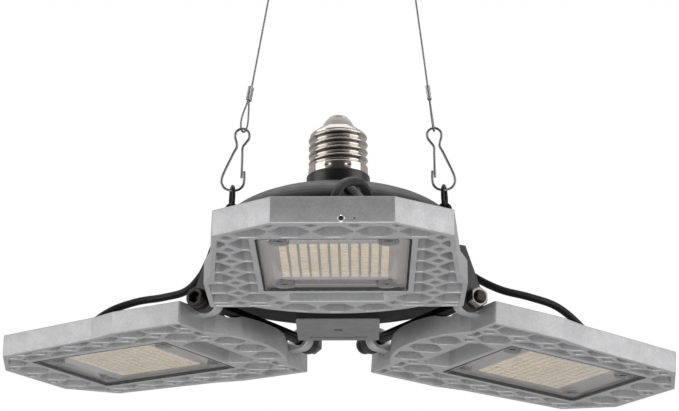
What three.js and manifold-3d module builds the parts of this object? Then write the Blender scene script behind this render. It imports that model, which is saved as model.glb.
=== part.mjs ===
import * as THREE from 'three';
import * as BufferGeometryUtils from 'three/addons/utils/BufferGeometryUtils.js';
import Module from 'manifold-3d';

// Three-leaf grow lamp hung on two wire ropes. Millimetres, +Z up, front leaf towards -Y.
// Heights below are above the leaf hinge pins; the ceiling plates' top face is the origin.
const CEILING_HEIGHT = 183;
const GAP = 0.3;

// hub
const HUB_RIM_R = 55;
const HUB_RIM_Z = 7.3;
const DOME_R = 52;
const DOME_Z = 33.5;
const DOME_RISE = 18.7;
const HUB_WALL = 2.2;
const HUB_TOP_R = 14.3;
const COVER_R = 52.3;
const COVER_T = 2.2;
const GASKET_T = 1;
const LEDGE_R = 49.8;
const BOX_SIDE = 35.5;
const BOX_BOTTOM_Z = -9.1;
const BOX_DRAFT = 0.8;
const BOX_WALL = 1.8;

// screw base
const SHELL_R = 13.1;
const SHELL_Z = 60.6;
const THREAD_PITCH = 3.63;
const THREAD_DEPTH = 0.95;
const THREAD_TURNS = 5;
const CONE_Z = 79.3;
const CONE_TOP_Z = 82.6;
const CONE_TOP_R = 9;
const CONTACT_TOP_Z = 88.8;

// leaf hinges: pin along the leaf's width
const HINGE_RHO = 41.2;
const PIN_R = 2.5;
const PIN_BORE_R = PIN_R + GAP;
const EAR_IN = 40;
const EAR_OUT = 44;
const EAR_R = 5.3;
const HEAD_R = 4.25;
const HEAD_L = 5;
const NUT_R = 4.6;
const NUT_L = 4;
const KNUCKLE_R = 4.9;
const KNUCKLE_IN = 34;
const KNUCKLE_OUT = EAR_IN - 0.4;

// leaf frame, r outwards from the hinge pin, n up from it
const LEAF_TOP = -1.4;
const LEAF_BOTTOM = -11.3;
const LEAF_IN_R = 5.6;
const LEAF_ARC_HALF = 33.6;
const LEAF_ARC_SAG = 10.9;
const LEAF_HALF = 51.5;
const LEAF_JOG_R = [40.9, 54.8];
const LEAF_JOG_HALF = 48.1;
const LEAF_TIP_R = 107.6;
const LEAF_TIP_HALF = 43.5;
const LEAF_END_R = 124;
const LEAF_END_HALF = 21.9;
const LEAF_RIM = 2;
const WINDOW_HALF = 28.4;
const WINDOW_R = [30, 103.5];
const WINDOW_DEPTH = 4.8;
const WINDOW_FRAME = 2.3;
const CELL_PITCH = 15.5;
const CELL_NODE_R = 11.6;
const CELL_HALF = 7.05;
const CELL_FLAT = 2.8;
const CELL_TIP = 1.2;
const DIAMOND_T = 2.5;
const DIAMOND_R = 3.4;
const LENS_T = 2.4;
const BOARD_T = 1.4;
const LENS_SCREWS = [[-20, 36], [20, 36], [-20, 96], [20, 96]];
const LENS_SCREW_R = 4.2;

// leads from the hub to the leaves
const LEAD_R = 1.75;
const LEAD_HOLE_R = LEAD_R + GAP;
const LEAD_Z = 35;
const LEAD_T = 5.8;
const LEAD_END = [96.4, 0.5];
const GLAND_R = 4.2;
const GLAND_L = 5;

// hanging kit
const LUG_X = 46.6;
const LUG_Z = 45.2;
const LUG_HOLE_R = 1.5;
const LUG_R = 3.2;
const LUG_T = 2.4;
const RING_WIRE_R = 0.8;
const RING_R = 5.2;
const HOOK_WIRE_R = 0.55;
const ROPE_R = 0.45;
const STRAND = 0.55;
const FERRULE_L = 6.5;
const LOOP_L = 15;
const LOOP_HALF = 3;
const PLATE_R = 11;
const PLATE_T = 3;
const EYE_WIRE_R = 1;

// each leaf: azimuth from the front and the tilt it was left at
const LEAVES = [
  { name: 'front', azimuth: 0, tilt: -0.8 },
  { name: 'left', azimuth: -120, tilt: 0 },
  { name: 'right', azimuth: 120, tilt: -4.5 },
];

// each rope: side, lean towards the middle and twist of its loops
const ROPES = [
  { name: 'left', side: -1, lean: 9.3, twist: 24 },
  { name: 'right', side: 1, lean: 6.6, twist: 8 },
];

const wasm = await Module();
wasm.setup();

function solid(geometry) {
  const bare = geometry.clone();
  bare.deleteAttribute('normal');
  bare.deleteAttribute('uv');
  const merged = BufferGeometryUtils.mergeVertices(bare, 1e-4);
  const mesh = new wasm.Mesh({
    numProp: 3,
    vertProperties: new Float32Array(merged.attributes.position.array),
    triVerts: new Uint32Array(merged.index.array),
  });
  mesh.merge();
  return new wasm.Manifold(mesh);
}

function geometryOf(manifold) {
  const mesh = manifold.getMesh();
  const geometry = new THREE.BufferGeometry();
  geometry.setAttribute('position', new THREE.BufferAttribute(new Float32Array(mesh.vertProperties), 3));
  geometry.setIndex(new THREE.BufferAttribute(new Uint32Array(mesh.triVerts), 1));
  geometry.computeVertexNormals();
  return geometry;
}

function lathe(profile, segments = 48) {
  const points = profile.map(([r, z]) => new THREE.Vector2(r, z));
  return new THREE.LatheGeometry(points, segments).rotateX(Math.PI / 2);
}

function rod(radius, length, segments = 24) {
  return new THREE.CylinderGeometry(radius, radius, length, segments);
}

function block(x, y, z) {
  return new THREE.BoxGeometry(x, y, z);
}

function prism(points, depth, holes = []) {
  const shape = new THREE.Shape(points.map(([x, y]) => new THREE.Vector2(x, y)));
  for (const hole of holes) {
    shape.holes.push(new THREE.Path(hole.map(([x, y]) => new THREE.Vector2(x, y))));
  }
  return new THREE.ExtrudeGeometry(shape, { depth, bevelEnabled: false });
}

function circlePoints(radius, x, y, count) {
  return Array.from({ length: count }, (_, i) => {
    const a = (2 * Math.PI * i) / count;
    return [x + radius * Math.cos(a), y + radius * Math.sin(a)];
  });
}

function tube(points, radius, sides, steps) {
  const curve = new THREE.CatmullRomCurve3(points.map((p) => new THREE.Vector3(...p)), false, 'centripetal');
  const section = new THREE.Shape(circlePoints(radius, 0, 0, sides).map(([x, y]) => new THREE.Vector2(x, y)));
  return new THREE.ExtrudeGeometry(section, { steps, bevelEnabled: false, extrudePath: curve });
}

function part(name, geometry, colour, roughness, metalness, extra = {}) {
  const material = new THREE.MeshStandardMaterial({ color: colour, roughness, metalness, ...extra });
  const mesh = new THREE.Mesh(geometry, material);
  mesh.name = name;
  return mesh;
}

const BLACK = 0x26272a;
const ALUMINIUM = 0xa9abae;
const STEEL = 0xb4b6b8;

const root = new THREE.Group();
root.name = 'grow_lamp';
const lamp = new THREE.Group();
lamp.position.z = -CEILING_HEIGHT;
root.add(lamp);

// a frame that looks outwards along one leaf: x across, y outwards, z up
function leafFrame(azimuth) {
  const turn = THREE.MathUtils.degToRad(azimuth);
  const across = new THREE.Vector3(Math.cos(turn), Math.sin(turn), 0);
  const out = new THREE.Vector3(Math.sin(turn), -Math.cos(turn), 0);
  return { across, out, up: new THREE.Vector3(0, 0, 1) };
}

// x across, y outwards and z up is left-handed, so shapes are drawn with y inwards and turned
function toLeaf(geometry, azimuth) {
  return geometry.clone().rotateZ(THREE.MathUtils.degToRad(azimuth));
}

// hub dome: skirt, cap, hinge ears, hanging lugs and lead bosses in one casting
function domePoint(r, shrink = 0) {
  const reach = (DOME_R - shrink);
  return [r, DOME_Z + (DOME_RISE - shrink) * Math.sqrt(1 - (r / reach) ** 2)];
}

function earShape() {
  const eye = Array.from({ length: 9 }, (_, i) => {
    const a = THREE.MathUtils.degToRad(15 - (i * 165) / 8);
    return [HINGE_RHO + EAR_R * Math.cos(a), EAR_R * Math.sin(a)];
  });
  return [[33, 23], [37.5, 23], ...eye, [34.6, HUB_RIM_Z], [33, HUB_RIM_Z]];
}

// a profile drawn in outwards/up, extruded across from x0 to x1
function acrossPrism(points, x0, x1) {
  const shape = points.map(([rho, z]) => [-rho, z]);
  return prism(shape, x1 - x0).rotateX(Math.PI / 2).rotateZ(Math.PI / 2).translate(x0, 0, 0);
}

const domeRadii = [51, 48, 42, 34, 25, HUB_TOP_R];
const domeOutside = [
  [0, HUB_RIM_Z], [HUB_RIM_R, HUB_RIM_Z], [HUB_RIM_R - 0.4, 12], [DOME_R + 0.6, 28], [DOME_R, DOME_Z],
  ...domeRadii.map((r) => domePoint(r)), [0, domePoint(HUB_TOP_R)[1]],
];
const cavityRadii = [48, 43, 34, 24, 14];
const ledgeZ = HUB_RIM_Z + COVER_T + GASKET_T + 2 * GAP;
const domeInside = [
  [0, HUB_RIM_Z - 1], [COVER_R + GAP, HUB_RIM_Z - 1], [COVER_R + GAP, ledgeZ], [LEDGE_R, ledgeZ],
  [LEDGE_R - 0.3, DOME_Z], ...cavityRadii.map((r) => domePoint(r, HUB_WALL)), [0, domePoint(14, HUB_WALL)[1]],
];
let hub = solid(lathe(domeOutside, 48));
for (const { azimuth } of LEAVES) {
  for (const side of [-1, 1]) {
    const x0 = side > 0 ? EAR_IN : -EAR_OUT;
    hub = hub.add(solid(toLeaf(acrossPrism(earShape(), x0, x0 + EAR_OUT - EAR_IN), azimuth)));
  }
  const boss = rod(GLAND_R + 1.2, 14, 16).translate(LEAD_T, -(DOME_R + 1.5 - 7), LEAD_Z);
  hub = hub.add(solid(toLeaf(boss, azimuth)));
}
for (const side of [-1, 1]) {
  const fin = [
    [LUG_X - 4.5, 38], [LUG_X + 3.4, 36], ...circlePoints(LUG_R, LUG_X, LUG_Z, 12).slice(0, 7),
  ].map(([x, z]) => [side * x, z]);
  const ordered = side > 0 ? fin : fin.reverse();
  hub = hub.add(solid(prism(ordered, LUG_T).rotateX(Math.PI / 2).translate(0, LUG_T / 2, 0)));
}
hub = hub.subtract(solid(lathe(domeInside, 48)));
hub = hub.subtract(solid(rod(8, 20, 20).rotateX(Math.PI / 2).translate(0, 0, 50)));
for (const { azimuth } of LEAVES) {
  const pinBore = rod(PIN_BORE_R, 2 * EAR_OUT + 4, 16).rotateZ(Math.PI / 2).translate(0, -HINGE_RHO, 0);
  hub = hub.subtract(solid(toLeaf(pinBore, azimuth)));
  const leadBore = rod(LEAD_HOLE_R, 16, 12).translate(LEAD_T, -(DOME_R - 4), LEAD_Z);
  hub = hub.subtract(solid(toLeaf(leadBore, azimuth)));
}
for (const side of [-1, 1]) {
  hub = hub.subtract(solid(rod(LUG_HOLE_R, 8, 12).translate(side * LUG_X, 0, LUG_Z)));
}
lamp.add(part('hub_dome', geometryOf(hub), BLACK, 0.45, 0.4));

// hub cover, its gasket and the driver box that hangs from it
const boxTop = HUB_RIM_Z - GAP;
let cover = solid(lathe([[0, HUB_RIM_Z], [COVER_R, HUB_RIM_Z], [COVER_R, HUB_RIM_Z + COVER_T],
  [0, HUB_RIM_Z + COVER_T]], 48));
cover = cover.subtract(solid(rod(9, 10, 24).rotateX(Math.PI / 2).translate(0, 0, HUB_RIM_Z)));
lamp.add(part('hub_cover', geometryOf(cover), BLACK, 0.5, 0.3));
const gasketZ = HUB_RIM_Z + COVER_T + GAP;
lamp.add(part('hub_gasket', lathe([[LEDGE_R - 2, gasketZ], [COVER_R - 0.2, gasketZ],
  [COVER_R - 0.2, gasketZ + GASKET_T], [LEDGE_R - 2, gasketZ + GASKET_T], [LEDGE_R - 2, gasketZ]], 40),
  0x1a1a1a, 0.9, 0));

function taperedBox(bottomHalf, topHalf, bottomZ, topZ) {
  const geometry = block(2, 2, 1);
  const position = geometry.attributes.position;
  for (let i = 0; i < position.count; i += 1) {
    const low = position.getZ(i) < 0;
    const half = low ? bottomHalf : topHalf;
    position.setXYZ(i, position.getX(i) * half, position.getY(i) * half, low ? bottomZ : topZ);
  }
  return geometry;
}

const boxHalf = BOX_SIDE / 2;
let box = solid(taperedBox(boxHalf, boxHalf + BOX_DRAFT, BOX_BOTTOM_Z, boxTop));
box = box.subtract(solid(taperedBox(boxHalf - BOX_WALL, boxHalf + BOX_DRAFT - BOX_WALL,
  BOX_BOTTOM_Z + BOX_WALL, boxTop + 1)));
box = box.subtract(solid(rod(2, 6, 20).rotateX(Math.PI / 2).translate(0, 0, BOX_BOTTOM_Z)));
box = box.subtract(solid(block(25, 1.2, 6).translate(0, boxHalf - 5, BOX_BOTTOM_Z)));
lamp.add(part('driver_box', geometryOf(box), 0x4a4b4d, 0.5, 0.3));
lamp.add(part('box_sensor', rod(1.7, 2.4, 20).rotateX(Math.PI / 2).translate(0, 0, BOX_BOTTOM_Z + 1.4),
  0x101012, 0.2, 0));

// driver board and its two tall components, inside the dome
const boardZ = 17;
lamp.add(part('driver_board', block(62, 46, 1.6).translate(0, 0, boardZ), 0x2f6b3f, 0.6, 0));
lamp.add(part('driver_capacitor', rod(5, 16, 24).rotateX(Math.PI / 2).translate(-17, 8, boardZ + 9.1),
  0x30343c, 0.4, 0.2));
lamp.add(part('driver_transformer', block(18, 16, 13).translate(12, -4, boardZ + 7.6), 0xb08a3c, 0.7, 0));

// base collar with the neck that carries the screw shell
const collarZ = domePoint(HUB_TOP_R)[1] + GAP;
lamp.add(part('base_collar', lathe([[7.5, collarZ], [14, collarZ], [14, SHELL_Z - GAP], [11.3, SHELL_Z - GAP],
  [11.3, 78], [7.5, 78], [7.5, collarZ]], 40), 0x1c1c1e, 0.5, 0));

const thread = [];
for (let i = 0; i <= THREAD_TURNS; i += 1) {
  const z = SHELL_Z + 0.2 + i * THREAD_PITCH;
  thread.push([SHELL_R - THREAD_DEPTH, z], [SHELL_R, z + THREAD_PITCH * 0.35]);
  thread.push([SHELL_R, z + THREAD_PITCH * 0.65]);
}
const shellProfile = [[11.7, SHELL_Z], [SHELL_R - THREAD_DEPTH, SHELL_Z], ...thread.slice(1, -2),
  [CONE_TOP_R, CONE_TOP_Z], [CONE_TOP_R - 0.5, CONE_TOP_Z], [11.7, CONE_Z - 0.4], [11.7, SHELL_Z]];
lamp.add(part('screw_shell', lathe(shellProfile, 32), 0xc9c4ba, 0.25, 1));
lamp.add(part('base_insulator', lathe([[2.9, 80.2], [8.1, 80.2], [8.1, CONE_TOP_Z + 0.3], [6.3, 85.2],
  [4.6, 87.3], [2.9, 87.3], [2.9, 80.2]], 32), 0xcfccc6, 0.5, 0));
lamp.add(part('centre_contact', lathe([[0, 83], [2.6, 83], [2.6, 87.6], [4.2, 87.6], [3.4, CONTACT_TOP_Z],
  [0, CONTACT_TOP_Z]], 24), 0xb9b4a8, 0.35, 1));

// leaf frame outline and its honeycomb
function arcPoints(count) {
  const radius = (LEAF_ARC_HALF ** 2 + LEAF_ARC_SAG ** 2) / (2 * LEAF_ARC_SAG);
  const centre = LEAF_IN_R - LEAF_ARC_SAG + radius;
  const half = Math.asin(LEAF_ARC_HALF / radius);
  return Array.from({ length: count + 1 }, (_, i) => {
    const a = -half + (2 * half * i) / count;
    return { t: radius * Math.sin(a), r: centre - radius * Math.cos(a), a };
  });
}

const arc = arcPoints(12);
const outline = [
  [-LEAF_HALF, LEAF_IN_R], ...arc.map(({ t, r }) => [t, r]), [LEAF_HALF, LEAF_IN_R],
  [LEAF_HALF, LEAF_JOG_R[0]], [LEAF_JOG_HALF, LEAF_JOG_R[1]], [LEAF_TIP_HALF, LEAF_TIP_R],
  [LEAF_END_HALF, LEAF_END_R], [-LEAF_END_HALF, LEAF_END_R], [-LEAF_TIP_HALF, LEAF_TIP_R],
  [-LEAF_JOG_HALF, LEAF_JOG_R[1]], [-LEAF_HALF, LEAF_JOG_R[0]],
];

// keep the side of a polygon where a*x + b*y <= c
function clip(polygon, [a, b, c]) {
  const kept = [];
  polygon.forEach((p, i) => {
    const q = polygon[(i + 1) % polygon.length];
    const dp = a * p[0] + b * p[1] - c;
    const dq = a * q[0] + b * q[1] - c;
    if (dp <= 0) kept.push(p);
    if ((dp < 0 && dq > 0) || (dp > 0 && dq < 0)) {
      const s = dp / (dp - dq);
      kept.push([p[0] + s * (q[0] - p[0]), p[1] + s * (q[1] - p[1])]);
    }
  });
  return kept;
}

// the side of the line through p and q away from its left, moved in by the rim
function edge(p, q) {
  const length = Math.hypot(q[0] - p[0], q[1] - p[1]);
  const a = (q[1] - p[1]) / length;
  const b = -(q[0] - p[0]) / length;
  return [a, b, a * p[0] + b * p[1] - LEAF_RIM];
}

const jogLine = edge([LEAF_HALF, LEAF_JOG_R[0]], [LEAF_JOG_HALF, LEAF_JOG_R[1]]);
const sideLine = edge([LEAF_JOG_HALF, LEAF_JOG_R[1]], [LEAF_TIP_HALF, LEAF_TIP_R]);
const tipLine = edge([LEAF_TIP_HALF, LEAF_TIP_R], [LEAF_END_HALF, LEAF_END_R]);

function limits(r) {
  const inner = r < 45 ? [[1, 0, LEAF_HALF - LEAF_RIM], jogLine] : [jogLine, sideLine];
  return [...(r < 60 ? inner : [sideLine]), tipLine, [0, 1, LEAF_END_R - LEAF_RIM]];
}

const windowSide = WINDOW_HALF + WINDOW_FRAME;
const windowFar = WINDOW_R[1] + WINDOW_FRAME;
const windowNear = WINDOW_R[0] - WINDOW_FRAME;

function area(polygon) {
  return Math.abs(polygon.reduce((sum, p, i) => {
    const q = polygon[(i + 1) % polygon.length];
    return sum + p[0] * q[1] - q[0] * p[1];
  }, 0)) / 2;
}

function octagon(t, r) {
  return [
    [t + CELL_HALF, r - CELL_TIP], [t + CELL_HALF, r + CELL_TIP], [t + CELL_FLAT, r + CELL_HALF],
    [t - CELL_FLAT, r + CELL_HALF], [t - CELL_HALF, r + CELL_TIP], [t - CELL_HALF, r - CELL_TIP],
    [t - CELL_FLAT, r - CELL_HALF], [t + CELL_FLAT, r - CELL_HALF],
  ];
}

function diamond(t, r) {
  return [[t + DIAMOND_T, r], [t, r + DIAMOND_R], [t - DIAMOND_T, r], [t, r - DIAMOND_R]];
}

const cells = [];
function addCell(polygon) {
  if (polygon.length > 2 && area(polygon) > 4) {
    cells.push(polygon);
    cells.push(polygon.map(([t, r]) => [-t, r]).reverse());
  }
}

for (let row = 0; row < 7; row += 1) {
  const r = CELL_NODE_R + CELL_PITCH * (row + 0.5);
  for (const column of [1, 2, 3]) {
    let cell = octagon(column * CELL_PITCH, r);
    for (const limit of limits(r)) cell = clip(cell, limit);
    if (r > WINDOW_R[1]) {
      cell = clip(cell, [0, -1, -windowFar]);
    } else if (r > WINDOW_R[0]) {
      cell = clip(cell, [-1, 0, -windowSide]);
    } else if (column === 1) {
      cell = [];
    }
    addCell(cell);
  }
}
for (let row = 0; row < 8; row += 1) {
  const r = CELL_NODE_R + CELL_PITCH * row;
  for (const node of [0.5, 1.5, 2.5]) {
    const t = node * CELL_PITCH;
    const inWindow = t < windowSide && r > windowNear - DIAMOND_R && r < windowFar + 0.4;
    let hole = inWindow ? [] : diamond(t, r);
    for (const limit of limits(r)) hole = clip(hole, limit);
    if (node !== 0.5 || row > 0) addCell(hole);
  }
}
const endCell = clip(clip(octagon(0, CELL_NODE_R + CELL_PITCH * 6.5), [0, -1, -windowFar]),
  [0, 1, LEAF_END_R - LEAF_RIM]);
cells.push(endCell);

// inner band: one long pocket, then three cells and four cut cells along the hub side
cells.push([[22.4, CELL_NODE_R + 6.6], [18.5, windowNear], [-18.5, windowNear], [-22.4, CELL_NODE_R + 6.6],
  [-19, CELL_NODE_R + 2.6], [19, CELL_NODE_R + 2.6]]);
for (const column of [0, 1]) {
  let cell = octagon(column * CELL_PITCH, CELL_NODE_R - CELL_PITCH / 2);
  for (const { a } of arc) {
    const radius = (LEAF_ARC_HALF ** 2 + LEAF_ARC_SAG ** 2) / (2 * LEAF_ARC_SAG);
    const centre = LEAF_IN_R - LEAF_ARC_SAG + radius;
    const nt = Math.sin(a);
    const nr = -Math.cos(a);
    cell = clip(cell, [nt, nr, nr * centre + radius - LEAF_RIM]);
  }
  if (column === 0) cells.push(cell);
  else addCell(cell);
}
addCell([[36.2, 7.6], [33.8, 10.9], [28.2, 10.9], [25.8, 7.6]]);
addCell([[49.5, 7.6], [49.4, 10.9], [43.7, 10.9], [41.3, 7.6]]);

// the leaf is drawn flat with r along -y, then raised to its thickness
function leafPrism(polygon, holes, n0, n1) {
  const flip = (points) => points.map(([t, r]) => [t, -r]).reverse();
  return prism(flip(polygon), n1 - n0, holes.map(flip)).translate(0, 0, n0);
}

function rectangle(half, [near, far]) {
  return [[-half, near], [half, near], [half, far], [-half, far]];
}

let frame = solid(leafPrism(outline, [], LEAF_BOTTOM, LEAF_TOP));
for (const cell of cells) {
  if (cell.length > 2) {
    frame = frame.subtract(solid(leafPrism(cell, [], LEAF_BOTTOM - 1, LEAF_TOP + 1)));
  }
}
const pocketTop = LEAF_BOTTOM + WINDOW_DEPTH;
frame = frame.subtract(solid(leafPrism(rectangle(WINDOW_HALF, WINDOW_R), [], LEAF_BOTTOM - 1, pocketTop)));
frame = frame.subtract(solid(rod(PIN_R + 0.6, 2 * LEAF_ARC_HALF + 6, 16).rotateZ(Math.PI / 2)));
for (const side of [-1, 1]) {
  const middle = (side * (KNUCKLE_IN + KNUCKLE_OUT)) / 2;
  const width = KNUCKLE_OUT - KNUCKLE_IN;
  frame = frame.add(solid(rod(KNUCKLE_R, width, 16).rotateZ(Math.PI / 2).translate(middle, 0, 0)));
  frame = frame.add(solid(block(width, 7.4, 6.5).translate(middle, -3.7, -3.85)));
}
frame = frame.subtract(solid(rod(PIN_BORE_R, 2 * EAR_OUT, 16).rotateZ(Math.PI / 2)));
const [leadR, leadT] = LEAD_END;
frame = frame.add(solid(rod(GLAND_R + 1, 2, 16).rotateX(Math.PI / 2).translate(leadT, -leadR, LEAF_TOP)));
frame = frame.subtract(solid(rod(LEAD_HOLE_R, 12, 12).rotateX(Math.PI / 2).translate(leadT, -leadR, -4)));
const frameGeometry = geometryOf(frame);

const lensTop = LEAF_BOTTOM + LENS_T;
const lensHoles = LENS_SCREWS.map(([t, r]) => circlePoints(LENS_SCREW_R, t, r, 14));
const lensGeometry = leafPrism(rectangle(WINDOW_HALF - GAP, [WINDOW_R[0] + GAP, WINDOW_R[1] - GAP]), lensHoles,
  LEAF_BOTTOM, lensTop);
const ledBoardZ = lensTop + GAP;
const ledBoardGeometry = leafPrism(rectangle(WINDOW_HALF - 0.6, [WINDOW_R[0] + 0.6, WINDOW_R[1] - 0.6]), [],
  ledBoardZ, ledBoardZ + BOARD_T);

const headX = EAR_OUT + GAP;
let pin = solid(rod(PIN_R, headX + EAR_OUT + NUT_L + 1.4, 16).rotateZ(Math.PI / 2)
  .translate((headX - EAR_OUT - NUT_L - 1.4) / 2, 0, 0));
pin = pin.add(solid(rod(HEAD_R, HEAD_L, 20).rotateZ(Math.PI / 2).translate(headX + HEAD_L / 2, 0, 0)));
pin = pin.subtract(solid(rod(2.3, 5, 6).rotateZ(Math.PI / 2).translate(headX + HEAD_L, 0, 0)));
const pinGeometry = geometryOf(pin);
let nut = solid(rod(NUT_R, NUT_L, 6).rotateZ(Math.PI / 2).translate(-(EAR_OUT + GAP + NUT_L / 2), 0, 0));
nut = nut.subtract(solid(rod(PIN_R + GAP, 2 * NUT_L, 16).rotateZ(Math.PI / 2)
  .translate(-(EAR_OUT + GAP + NUT_L / 2), 0, 0)));
const nutGeometry = geometryOf(nut);

let hubGland = solid(rod(GLAND_R, GLAND_L, 16));
hubGland = hubGland.subtract(solid(rod(LEAD_HOLE_R, 2 * GLAND_L, 12)));
const hubGlandGeometry = geometryOf(hubGland).translate(LEAD_T, -(DOME_R + 1.5 + GAP + GLAND_L / 2), LEAD_Z);
const leafGlandGeometry = geometryOf(hubGland).rotateX(Math.PI / 2)
  .translate(leadT, -leadR, LEAF_TOP + 1 + GAP + GLAND_L / 2);

// lead route: across, outwards from the lamp's middle, up, and how much of the leaf's tilt it follows
const LEAD_START = [[LEAD_T, 50.5, LEAD_Z, 0], [LEAD_T, 55, LEAD_Z, 0], [LEAD_T, 59.5, LEAD_Z, 0]];
const LEAD_FOOT = [
  [leadT, HINGE_RHO + leadR, 6, 1], [leadT, HINGE_RHO + leadR, 3, 1], [leadT, HINGE_RHO + leadR, -4, 1],
];
const LEAD_ROUTE_FRONT = [
  ...LEAD_START, [7.4, 64.5, 32, 0], [10, 71, 26.8, 0.1], [12.4, 82, 22, 0.3], [12.6, 97, 21.2, 0.55],
  [9.5, 112, 20.6, 0.8], [4.6, 125, 16.6, 1], [1.8, 133.5, 11.5, 1], ...LEAD_FOOT,
];
const LEAD_ROUTE_SIDE = [
  ...LEAD_START, [4.4, 64.6, 31.2, 0], [1.4, 71.2, 25.4, 0.1], [-2.6, 82, 20.8, 0.3], [-4.6, 96, 20.2, 0.55],
  [-4, 111, 20, 0.8], [-1.6, 124, 16.8, 1], [0, 133, 11.4, 1], ...LEAD_FOOT,
];

function leadPoints(name, tilt) {
  const route = name === 'front' ? LEAD_ROUTE_FRONT : LEAD_ROUTE_SIDE;
  return route.map(([across, rho, z, share]) => {
    const angle = THREE.MathUtils.degToRad(tilt * share);
    const r = rho - HINGE_RHO;
    return [
      across,
      -(HINGE_RHO + r * Math.cos(angle) - z * Math.sin(angle)),
      z * Math.cos(angle) + r * Math.sin(angle),
    ];
  });
}

for (const { name, azimuth, tilt } of LEAVES) {
  const leaf = new THREE.Group();
  leaf.rotation.z = THREE.MathUtils.degToRad(azimuth);
  lamp.add(leaf);
  const tilted = new THREE.Group();
  tilted.position.y = -HINGE_RHO;
  tilted.rotation.x = THREE.MathUtils.degToRad(-tilt);
  leaf.add(tilted);
  tilted.add(part(`leaf_frame_${name}`, frameGeometry.clone(), ALUMINIUM, 0.4, 0.9));
  tilted.add(part(`led_board_${name}`, ledBoardGeometry.clone(), 0xd8c6bd, 0.6, 0));
  tilted.add(part(`led_lens_${name}`, lensGeometry.clone(), 0xe9e4df, 0.15, 0, { transparent: true, opacity: 0.35 }));
  tilted.add(part(`leaf_gland_${name}`, leafGlandGeometry.clone(), 0x1c1c1e, 0.6, 0));
  const bolt = part(`hinge_bolt_${name}`, pinGeometry.clone(), 0x8f8a80, 0.35, 1);
  bolt.position.y = -HINGE_RHO;
  leaf.add(bolt);
  const lockNut = part(`hinge_nut_${name}`, nutGeometry.clone(), 0x8f8a80, 0.35, 1);
  lockNut.position.y = -HINGE_RHO;
  leaf.add(lockNut);
  leaf.add(part(`hub_gland_${name}`, hubGlandGeometry.clone(), 0x1c1c1e, 0.6, 0));
  leaf.add(part(`lead_${name}`, tube(leadPoints(name, tilt), LEAD_R, 8, 30), 0x161617, 0.6, 0));
}

// hanging kit: ring, snap hook, rope with two ferrules and ceiling fitting on each side
const ringBottom = LUG_Z + LUG_HOLE_R - RING_WIRE_R - GAP;
const ringTop = ringBottom + 2 * RING_R;
const hookBottom = ringTop - RING_WIRE_R - HOOK_WIRE_R - GAP;
const HOOK_OUTLINE = [
  [42.6, 6.2], [42.5, 10], [42.4, 16], [42.2, 20.4], [40.9, 22.3], [39.5, 24.5], [39.6, 27], [41.2, 28.7],
  [43.4, 28.9], [45.3, 27.4], [45.7, 25], [45.1, 22.6], [44.9, 20.4], [46.2, 17.8], [48, 13.8],
  [49.8, 9.8], [51.2, 6], [51.3, 3.4], [49.8, 1.1], [LUG_X, 0], [43.6, 0.6], [41.7, 2.4], [41.1, 5],
  [41.1, 8.6],
];
const hookTop = hookBottom + 28.9;
const eyeX = 42.4;
const loopBottom = hookTop - HOOK_WIRE_R - ROPE_R - GAP;
const plateBottom = CEILING_HEIGHT - PLATE_T;
const eyeWireZ = CEILING_HEIGHT - 11.5;
const loopTop = eyeWireZ + EYE_WIRE_R + ROPE_R + GAP;

function ropePoints(length) {
  const ferruleLow = LOOP_L;
  const ferruleHigh = length - LOOP_L;
  const end = FERRULE_L - 0.6;
  return [
    [-STRAND, 0, ferruleLow + end], [-STRAND, 0, ferruleLow + 0.5], [-STRAND, 0, ferruleLow - 0.5],
    [-1.6, 0, ferruleLow - 4], [-LOOP_HALF, 0, 5], [-2.5, 0, 1.7], [-1.1, 0, 0.25], [0, 0, 0], [1.1, 0, 0.25],
    [2.5, 0, 1.7], [LOOP_HALF, 0, 5], [1.6, 0, ferruleLow - 4], [STRAND, 0, ferruleLow - 0.5],
    [STRAND, 0, ferruleLow + FERRULE_L + 1], [STRAND, 0, length / 2], [STRAND, 0, ferruleHigh - FERRULE_L - 1],
    [STRAND, 0, ferruleHigh + 0.5], [1.6, 0, ferruleHigh + 4], [LOOP_HALF, 0, length - 5],
    [2.5, 0, length - 1.7], [1.1, 0, length - 0.25], [0, 0, length], [-1.1, 0, length - 0.25],
    [-2.5, 0, length - 1.7], [-LOOP_HALF, 0, length - 5], [-1.6, 0, ferruleHigh + 4],
    [-STRAND, 0, ferruleHigh + 0.5], [-STRAND, 0, ferruleHigh - 0.5], [-STRAND, 0, ferruleHigh - end],
  ];
}

function stadium(halfWidth, halfHeight, count) {
  const straight = halfWidth - halfHeight;
  return circlePoints(halfHeight, 0, 0, count).map(([x, y]) => [x + (x >= 0 ? straight : -straight), y]);
}

function ferrule(z) {
  return prism(stadium(1.75, 1.2, 12), FERRULE_L, [stadium(1.3, 0.75, 12)]).translate(0, 0, z);
}

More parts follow.
